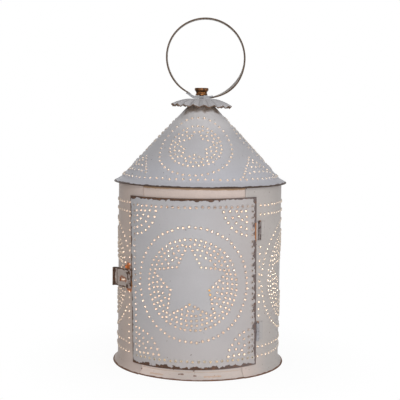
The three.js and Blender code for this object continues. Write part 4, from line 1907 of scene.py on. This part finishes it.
@dataclass
class Hinge:
    """A three-knuckle hinge: two curved leaves rolled round a pin."""

    pivot_radius: float = 87.0
    azimuth: float = 48.076
    height: float = 18.5
    barrel: float = 1.7
    leaf: float = 9.0
    leaf_sheet: float = 0.6
    leaf_start: float = 0.7
    gap: float = 0.3
    steps: int = 20

    def knuckles(self, outer: bool) -> list[tuple[float, float]]:
        """The spans of the outer or the middle knuckles about the hinge's middle."""
        edge, inner = self.height / 6 + self.gap / 2, self.height / 6 - self.gap / 2
        return [(-self.height / 2, -edge), (edge, self.height / 2)] if outer else [(-inner, inner)]

    def add_knuckles(self, bm: BMesh, outer: bool) -> None:
        """Adds rolled knuckles round the pin to a leaf in the hinge's own place.

        Args:
            bm: the leaf.
            outer: whether it carries the outer knuckles.
        """
        for low, high in self.knuckles(outer):
            tube = turned([
                (1.05, low + 0.1), (1.2, low), (self.barrel - 0.2, low), (self.barrel, low + 0.2),
                (self.barrel, high - 0.2), (self.barrel - 0.2, high), (1.2, high), (1.05, high - 0.1),
            ], self.steps)
            move(tube, (0, -self.pivot_radius, 0))
            for face in tube.faces:
                face.material_index = 1
            join(bm, tube)

    def curved_leaf(self, outer_radius: float, side: int, outer: bool) -> BMesh:
        """Builds a leaf in its hinge's own place, where -Y points out of the lantern.

        Args:
            outer_radius: the radius of its outer face.
            side: 1 where it runs towards higher azimuths, -1 the other way.
            outer: whether it carries the outer knuckles.

        Returns:
            The leaf.
        """
        start = self.leaf_start / 2
        bm = plate(self.leaf / 2 - start, self.height / 2, self.leaf_sheet, (6, 8), 0.14)
        move(bm, (side * (self.leaf / 2 + start), 0, 0))
        roll(bm, cylinder_roll(outer_radius))
        self.add_knuckles(bm, outer)
        return bm

    def placed(self, bm: BMesh, z: float, azimuth: float) -> BMesh:
        """Moves a part of the hinge from its own place to where it belongs.

        Args:
            bm: the part.
            z: the height of the hinge's middle.
            azimuth: the hinge's azimuth.

        Returns:
            The same part.
        """
        bmesh.ops.rotate(bm, cent=(0, 0, 0), matrix=Matrix.Rotation(math.radians(azimuth), 3, "Z"),
                         verts=bm.verts[:])
        move(bm, (0, 0, z))
        return bm

    def pin(self) -> BMesh:
        """Builds the pin with its small head.

        Returns:
            The pin in the hinge's own place.
        """
        low, top = -self.height / 2, self.height / 2 + self.gap
        bm = turned([
            (0.0, low), (0.65, low), (0.8, 0.2 + low), (0.8, top), (1.2, top), (1.35, top + 0.2),
            (1.25, top + 0.6), (0.7, top + 0.8), (0.0, top + 0.8),
        ], self.steps)
        move(bm, (0, -self.pivot_radius, 0))
        return bm


@dataclass
class DoorHinges:
    """The two hinges of the door."""

    hinge: Hinge = field(default_factory=Hinge)
    body_leaf_radius: float = 85.9

    def build(self) -> None:
        """Makes and dresses the leaves and pins."""
        steel = Metal("hinge_pin_steel", *PIN_LOOK).material()
        dark = Paint("worn_barrel", (0.30, 0.26, 0.25), (0.17, 0.14, 0.135), bare=(0.07, 0.05, 0.045),
                     rust=(0.3, 0.2, 0.16), chips=0.55).material()
        worn = Paint("worn_leaf", WARM_GREY, WARM_GREY_SHADE, chips=0.66).material()
        grey = Paint("painted_leaf", (0.49, 0.462, 0.455), (0.44, 0.415, 0.405), chips=0.68).material()
        dull = Paint("painted_barrel", (0.40, 0.39, 0.41), (0.31, 0.305, 0.325), chips=0.6).material()
        hinge, turn = self.hinge, self.hinge.azimuth
        for name, z, looks in zip(("upper", "lower"), HINGE_HEIGHTS, ((worn, dark), (grey, dull))):
            body_leaf = hinge.placed(hinge.curved_leaf(self.body_leaf_radius, 1, True), z, turn)
            settle(f"{name}_body_leaf", body_leaf, looks, Rides.LANTERN, Slot.WORN,
                   [f"{name}_hinge_body_leaf"])
            door_leaf = hinge.placed(hinge.curved_leaf(DOOR_LEAF_RADIUS, -1, False), z, turn)
            settle(f"{name}_door_leaf", door_leaf, looks, Rides.DOOR, Slot.WORN,
                   [f"{name}_hinge_door_leaf"])
            settle(f"{name}_pin", hinge.placed(hinge.pin(), z, turn), steel, Rides.LANTERN, Slot.STEEL,
                   [f"{name}_hinge_pin"])


@dataclass
class Hasp:
    """The slotted plate that turns on the door's edge, and the staple that it drops over."""

    hinge: Hinge = field(default_factory=lambda: Hinge(height=18.8))
    z: float = HASP_HEIGHT
    length: float = 21.0
    thickness: float = 1.0
    curl: float = 2.2
    curl_step: int = 18
    curl_steps: int = 7
    slot_start: float = 4.4
    slot_length: float = 10.4
    slot_width: float = 2.7
    slot_drop: float = SLOT_DROP
    staple_azimuth: float = -53.68
    staple_foot: float = 82.0
    staple_top: float = 91.52
    staple_width: float = 6.0
    staple_steps: int = 12
    wire: float = 1.6

    def plate(self) -> BMesh:
        """Builds the plate with its slot, its curled end and its two knuckles.

        Returns:
            The plate.
        """
        outer = self.hinge.pivot_radius + self.hinge.barrel
        half = self.hinge.height / 2
        bm = bmesh.new()
        sheet_outline(-self.length, -0.3, -half, half)(bm)
        unface(bm)
        self.add_slot(bm)
        fill(bm)
        edges = [e for e in bm.edges if all(v.co.x < 0.05 - self.length for v in e.verts)]
        for i in range(1, self.curl_steps + 1):
            verts, edges = extruded(bm, edges)
            turn = math.radians(self.curl_step * i)
            for vert in verts:
                vert.co = Vector((-self.length - self.curl * math.sin(turn), vert.co.y,
                                  self.curl - self.curl * math.cos(turn)))
        outward(bm)
        if sum(face.normal.z for face in bm.faces if face.calc_center_median().x > -self.length) < 0:
            bmesh.ops.reverse_faces(bm, faces=bm.faces[:])
        thicken(bm, self.thickness)
        soften(bm, 0.18)
        key_flat(bm)
        shift_flat(bm, Vector((-(self.length + self.curl) / 2, 0, 0)))
        roll(bm, lambda flat: Vector((flat.x, -outer - flat.z, flat.y)))
        outward(bm)
        self.hinge.add_knuckles(bm, True)
        return self.hinge.placed(bm, self.z, -self.hinge.azimuth)

    def add_slot(self, bm: BMesh) -> None:
        """Adds the slot's outline: two half circles drawn apart.

        Args:
            bm: the mesh to add to.
        """
        half = self.slot_width / 2
        middle = -self.slot_start - self.slot_length / 2
        place = Matrix.Translation((middle, -self.slot_drop, 0))
        made = bmesh.ops.create_circle(bm, cap_ends=False, radius=half, segments=20,
                                       matrix=place @ HOLE_TURN)
        for vert in made["verts"]:
            vert.co.x += math.copysign(self.slot_length / 2 - half, vert.co.x - middle)

    def staple(self) -> BMesh:
        """Builds the wire loop with its two legs through the wrapper.

        Returns:
            The staple.
        """
        bm = bmesh.new()
        reach = self.staple_width / 2 - self.wire / 2
        crown = self.staple_width / 2 - self.staple_top
        leg = (0, crown + self.staple_foot, 0)
        foot = Matrix.Translation((reach, -self.staple_foot, 0)) @ Matrix.Rotation(math.pi / 2, 4, "X")
        bmesh.ops.create_circle(bm, cap_ends=True, radius=self.wire / 2, segments=14, matrix=foot)
        verts, edges = extruded(bm, bm.edges[:])
        bmesh.ops.translate(bm, vec=leg, verts=verts)
        turn = Matrix.Rotation(-math.pi / self.staple_steps, 3, "Z")
        for _ in range(self.staple_steps):
            verts, edges = extruded(bm, edges)
            bmesh.ops.rotate(bm, cent=(0, crown, 0), matrix=turn, verts=verts)
        verts, edges = extruded(bm, edges)
        bmesh.ops.translate(bm, vec=-Vector(leg), verts=verts)
        bmesh.ops.holes_fill(bm, edges=edges, sides=0)
        outward(bm)
        return self.hinge.placed(bm, self.z - self.slot_drop, self.staple_azimuth)

    def build(self) -> None:
        """Makes and dresses the hasp's pieces."""
        half = self.hinge.height / 2
        middle = (self.length + self.curl) / 2
        dark, rust = (0.066, 0.036, 0.024), (0.32, 0.098, 0.027)
        stains = (
            Stain(middle - self.length, 0.0, half, 0.55, dark, upright=True),
            Stain(middle - self.slot_start - self.slot_length / 2, -self.slot_drop,
                  (self.slot_length - self.slot_width) / 2, self.slot_width / 2 + 1.1, rust),
            Stain(middle - 2.0, 5.5, 0.6, 1.5, dark),
            Stain(middle - 1.0, 1.5, 1.5, 0.9, dark, upright=True),
            Stain(middle - 2.0, -7.0, 1.2, 1.6, dark),
        )
        edges = EdgeWear(middle, half, left=0.5, right=0.9, bottom=1.1, top=1.1, least=0.6)
        worn = Paint("worn_hasp", (0.48, 0.41, 0.37), (0.37, 0.31, 0.28), bare=dark, chips=0.62, wear=edges,
                     stains=stains).material()
        barrel = Paint("worn_hasp_barrel", (0.40, 0.35, 0.32), (0.28, 0.22, 0.19), bare=dark,
                       chips=0.52).material()
        settle("hasp_strap", self.plate(), (worn, barrel), Rides.HASP, Slot.WORN, ["hasp_plate"])
        rusty = Paint("rusty_leaf", (0.40, 0.2, 0.1), (0.28, 0.12, 0.05), rust=(0.45, 0.16, 0.045),
                      chips=0.5).material()
        turn = -self.hinge.azimuth
        leaf = self.hinge.placed(self.hinge.curved_leaf(DOOR_LEAF_RADIUS, 1, False), self.z, turn)
        settle("hasp_leaf", leaf, (rusty, barrel), Rides.DOOR, Slot.WORN, ["hasp_hinge_leaf"])
        steel = Metal("hasp_pin_steel", *PIN_LOOK).material()
        pin = self.hinge.placed(self.hinge.pin(), self.z, turn)
        settle("hasp_pin_rod", pin, steel, Rides.DOOR, Slot.STEEL, ["hasp_pin"])
        brass = Metal("bright_staple", (0.95, 0.86, 0.76), (0.75, 0.5, 0.32), 0.6, (0.25, 0.45), 2.5)
        settle("staple_loop", self.staple(), brass.material(), Rides.LANTERN, Slot.BRASS, ["latch_staple"])


@dataclass
class Candle:
    """The electric candle: sleeve, glowing bulb and the plain fittings under it."""

    sleeve: float = 10.5
    sleeve_wall: float = 1.6
    low: float = 10.2
    high: float = 58.2
    bulb_low: float = 58.5
    bulb_high: float = 130.5
    bulb_radius: float = 15.0
    belly: float = 70.0
    neck: float = 9.0
    glass: float = 0.8
    cup_high: float = 61.5

    def bulb_width(self, z: float) -> float:
        """How wide the flame-shaped glass is.

        Args:
            z: a height.

        Returns:
            The outer radius there.
        """
        if z < self.belly:
            share = math.sin(math.pi / 2 * (z - self.bulb_low) / (self.belly - self.bulb_low))
            return self.neck + (self.bulb_radius - self.neck) * share
        share = (z - self.belly) / (self.bulb_high - self.belly)
        return self.bulb_radius * max(0.0, 1 - share) ** 0.75 * (1 + 0.55 * share * (1 - share))

    def walls(self, low: float, high: float, steps: int) -> tuple[Profile, Profile]:
        """Outlines the glass between two heights.

        Args:
            low: the lower height.
            high: the upper height.
            steps: how many steps the outlines get.

        Returns:
            The outlines of the outer and the inner face, from the lower height up.
        """
        heights = [low + (high - low) * i / steps for i in range(steps + 1)]
        outer = [(self.bulb_width(z), z) for z in heights]
        return outer, [(max(0.0, radius - self.glass), z) for radius, z in outer]

    def cup(self) -> BMesh:
        """Builds the glass's lower part, which keeps light off the sleeve."""
        outer, inner = self.walls(self.bulb_low, self.cup_high, 10)
        return turned([*outer, *reversed(inner)], 40)

    def flame(self) -> BMesh:
        """Builds the glass's upper part, closed at its tip.

        Returns:
            The glass.
        """
        outer, inner = self.walls(self.cup_high, self.bulb_high, 20)
        tip = self.bulb_high - self.glass
        sides = [point for point in reversed(inner) if point[0] > 0]
        return turned([(0.0, tip), *sides, *outer[:-1], (0.0, self.bulb_high)], 40)

    def build(self) -> None:
        """Makes and dresses the candle's pieces and gives the plain fittings their finishes."""
        wall = self.sleeve - self.sleeve_wall
        tube = turned([(wall, self.low), (self.sleeve - 0.3, self.low), (self.sleeve, self.low + 0.3),
                       (self.sleeve, self.high - 0.6), (self.sleeve - 0.6, self.high), (wall, self.high)])
        wax = Moulded("ivory_tube", (0.88, 0.85, 0.78), (0.80, 0.76, 0.67), 0.5)
        settle("ivory_sleeve", tube, wax.material(), Rides.LANTERN, Slot.TUBE, ["candle_sleeve"])
        glow = GlowingGlass("glowing_glass", (1.0, 0.86, 0.66), (0.85, 0.43, 0.04), (84.0, 97.0),
                            1.2).material()
        settle("bulb_cup", self.cup(), glow, Rides.LANTERN, Slot.GLASS, [])
        flame = settle("flame_bulb", self.flame(), glow, Rides.LANTERN, Slot.GLASS, ["bulb_glass"])
        flame.visible_shadow = False
        steel = Metal("plain_steel", (0.55, 0.54, 0.52), (0.36, 0.35, 0.33)).material()
        brass = Metal("plain_brass", (0.62, 0.42, 0.18), (0.36, 0.22, 0.09)).material()
        plastic = Moulded("holder_plastic", (0.022, 0.02, 0.019), (0.035, 0.033, 0.03), 0.45).material()
        rubber = Moulded("inlet_rubber", (0.014, 0.013, 0.012), (0.028, 0.026, 0.025), 0.8).material()
        paint = Paint("painted_pan", (0.42, 0.365, 0.33), (0.34, 0.29, 0.265), chips=0.66).material()
        dress({
            "base_pan": paint, "roof_washer": steel, "roof_lock_nut": brass, "lamp_bracket": steel,
            "lamp_nipple": brass, "nipple_nut": brass, "lamp_socket": plastic, "bulb_cap": brass,
            "bulb_stem": steel, "cord_grommet": rubber,
        })


@dataclass
class Studio:
    """Floor, light and camera."""

    focal: float = 965.0
    frame_width: float = 400.0
    distance: float = 1010.0
    camera_height: float = 268.2
    azimuth: float = 5.0
    pitch: float = 0.0975
    roll: float = 0.0146
    world: float = 0.275
    aim: tuple[float, float, float] = (0.0, 0.0, 0.15)
    lamp_place: tuple[float, float, float] = (0.006, 0.0, 0.096)
    lamp_power: float = 1.45
    lamp_radius: float = 0.012
    lamp_colour: Colour = (1.0, 0.86, 0.70)
    floor_size: float = 12.0
    floor_drop: float = 0.0005

    def camera(self) -> None:
        """Makes the camera at the fitted place."""
        data = bpy.data.cameras.new("camera")
        data.sensor_width = 36.0
        data.lens = self.focal / self.frame_width * data.sensor_width
        data.clip_start, data.clip_end = 0.01, 50
        camera = bpy.data.objects.new("camera", data)
        camera.location = polar(self.distance, self.azimuth, self.camera_height) * MM
        turn = Matrix.Rotation(math.radians(self.azimuth), 3, "Z")
        tilt = Matrix.Rotation(math.pi / 2 - self.pitch, 3, "X")
        lean = Matrix.Rotation(self.roll, 3, "Z")
        camera.rotation_euler = (turn @ tilt @ lean).to_euler()
        show(camera)
        bpy.context.scene.camera = camera

    def area(self, name: str, place: tuple[float, float, float], size: float, power: float) -> None:
        """Adds a soft square lamp that points at the middle of the lantern.

        Args:
            name: the lamp's name.
            place: its place in metres.
            size: the length of its side in metres.
            power: its power in watts.
        """
        data = bpy.data.lights.new(name, "AREA")
        data.shape = "SQUARE"
        data.size = size
        data.energy = power
        lamp = bpy.data.objects.new(name, data)
        lamp.location = place
        aim = Vector(self.aim) - Vector(place)
        lamp.rotation_euler = aim.to_track_quat("-Z", "Y").to_euler()
        show(lamp)

    def bulb_light(self) -> None:
        """Adds the light of the bulb inside the lantern."""
        data = bpy.data.lights.new("bulb_light", "POINT")
        data.energy = self.lamp_power
        data.shadow_soft_size = self.lamp_radius
        data.color = self.lamp_colour
        lamp = bpy.data.objects.new("bulb_light", data)
        lamp.location = self.lamp_place
        show(lamp)

    def seen(self, nodes: Nodes) -> Socket:
        """Adds nodes that tell what is seen from what only gives light.

        Args:
            nodes: the material or world to add to.

        Returns:
            1 to the camera and in reflections and glass, else 0.
        """
        rays = nodes.add("ShaderNodeLightPath").outputs
        mirrored = nodes.math("MAXIMUM", rays["Is Camera Ray"], rays["Is Glossy Ray"])
        return nodes.math("MAXIMUM", mirrored, rays["Is Transmission Ray"])

    def backdrop(self) -> None:
        """Sets a white world that lights the lantern softly."""
        world = bpy.data.worlds.new("white_room")
        bpy.context.scene.world = world
        nodes = Nodes(world)
        sky = nodes.add("ShaderNodeBackground")
        sky.inputs["Color"].default_value = (1, 1, 1, 1)
        nodes.link(nodes.spread(self.seen(nodes), 0.0, 1.0, self.world, 1.0), sky.inputs["Strength"])
        output = nodes.add("ShaderNodeOutputWorld")
        nodes.link(sky.outputs[0], output.inputs["Surface"])

    def floor_look(self) -> bpy.types.Material:
        """Makes the floor's material.

        Returns:
            A matt white that glows where it is seen, a little less near the lantern.
        """
        material = bpy.data.materials.new("pale_floor")
        nodes = Nodes(material)
        away = nodes.add("ShaderNodeVectorMath", operation="LENGTH")
        nodes.link(nodes.place(), away.inputs[0])
        fade = nodes.spread(away.outputs["Value"], 0.09, 0.2, 0.95, 1.0)
        matt = nodes.add("ShaderNodeBsdfDiffuse")
        matt.inputs["Color"].default_value = (0.9, 0.9, 0.9, 1)
        glow = nodes.add("ShaderNodeEmission")
        glow.inputs["Strength"].default_value = 1.0
        blend = nodes.add("ShaderNodeMixShader")
        sources = (nodes.math("MULTIPLY", self.seen(nodes), fade), matt.outputs[0], glow.outputs[0])
        for source, target in zip(sources, blend.inputs):
            nodes.link(source, target)
        output = nodes.add("ShaderNodeOutputMaterial")
        nodes.link(blend.outputs[0], output.inputs["Surface"])
        return material

    def floor(self) -> None:
        """Makes the pale floor, white to the camera but for a faint shadow."""
        bm = bmesh.new()
        bmesh.ops.create_grid(bm, x_segments=1, y_segments=1, size=self.floor_size)
        mesh = bpy.data.meshes.new("floor")
        bm.to_mesh(mesh)
        bm.free()
        mesh.materials.append(self.floor_look())
        floor = bpy.data.objects.new("floor", mesh)
        floor.location = (0, 0, -self.floor_drop)
        show(floor)

    def build(self) -> None:
        """Makes the whole studio."""
        bpy.context.scene.view_settings.view_transform = "Standard"
        self.camera()
        self.backdrop()
        self.floor()
        self.bulb_light()
        self.area("key", (0.38, -1.92, 0.55), 1.2, 22.0)
        self.area("fill", (1.6, -0.7, 0.2), 1.2, 5.0)
        self.area("back", (-0.5, 1.9, 0.7), 1.4, 4.5)
        self.area("top", (0.0, -0.3, 1.7), 1.2, 4.5)


def main() -> None:
    """Builds every sub-assembly in order."""
    logging.basicConfig(level=logging.INFO, format="%(message)s")
    Studio().build()
    for kind in (BodyCase, Roof, TopFittings, CarryRing, Door, DoorHinges, Hasp, Candle):
        kind().build()


if __name__ == "__main__":
    main()
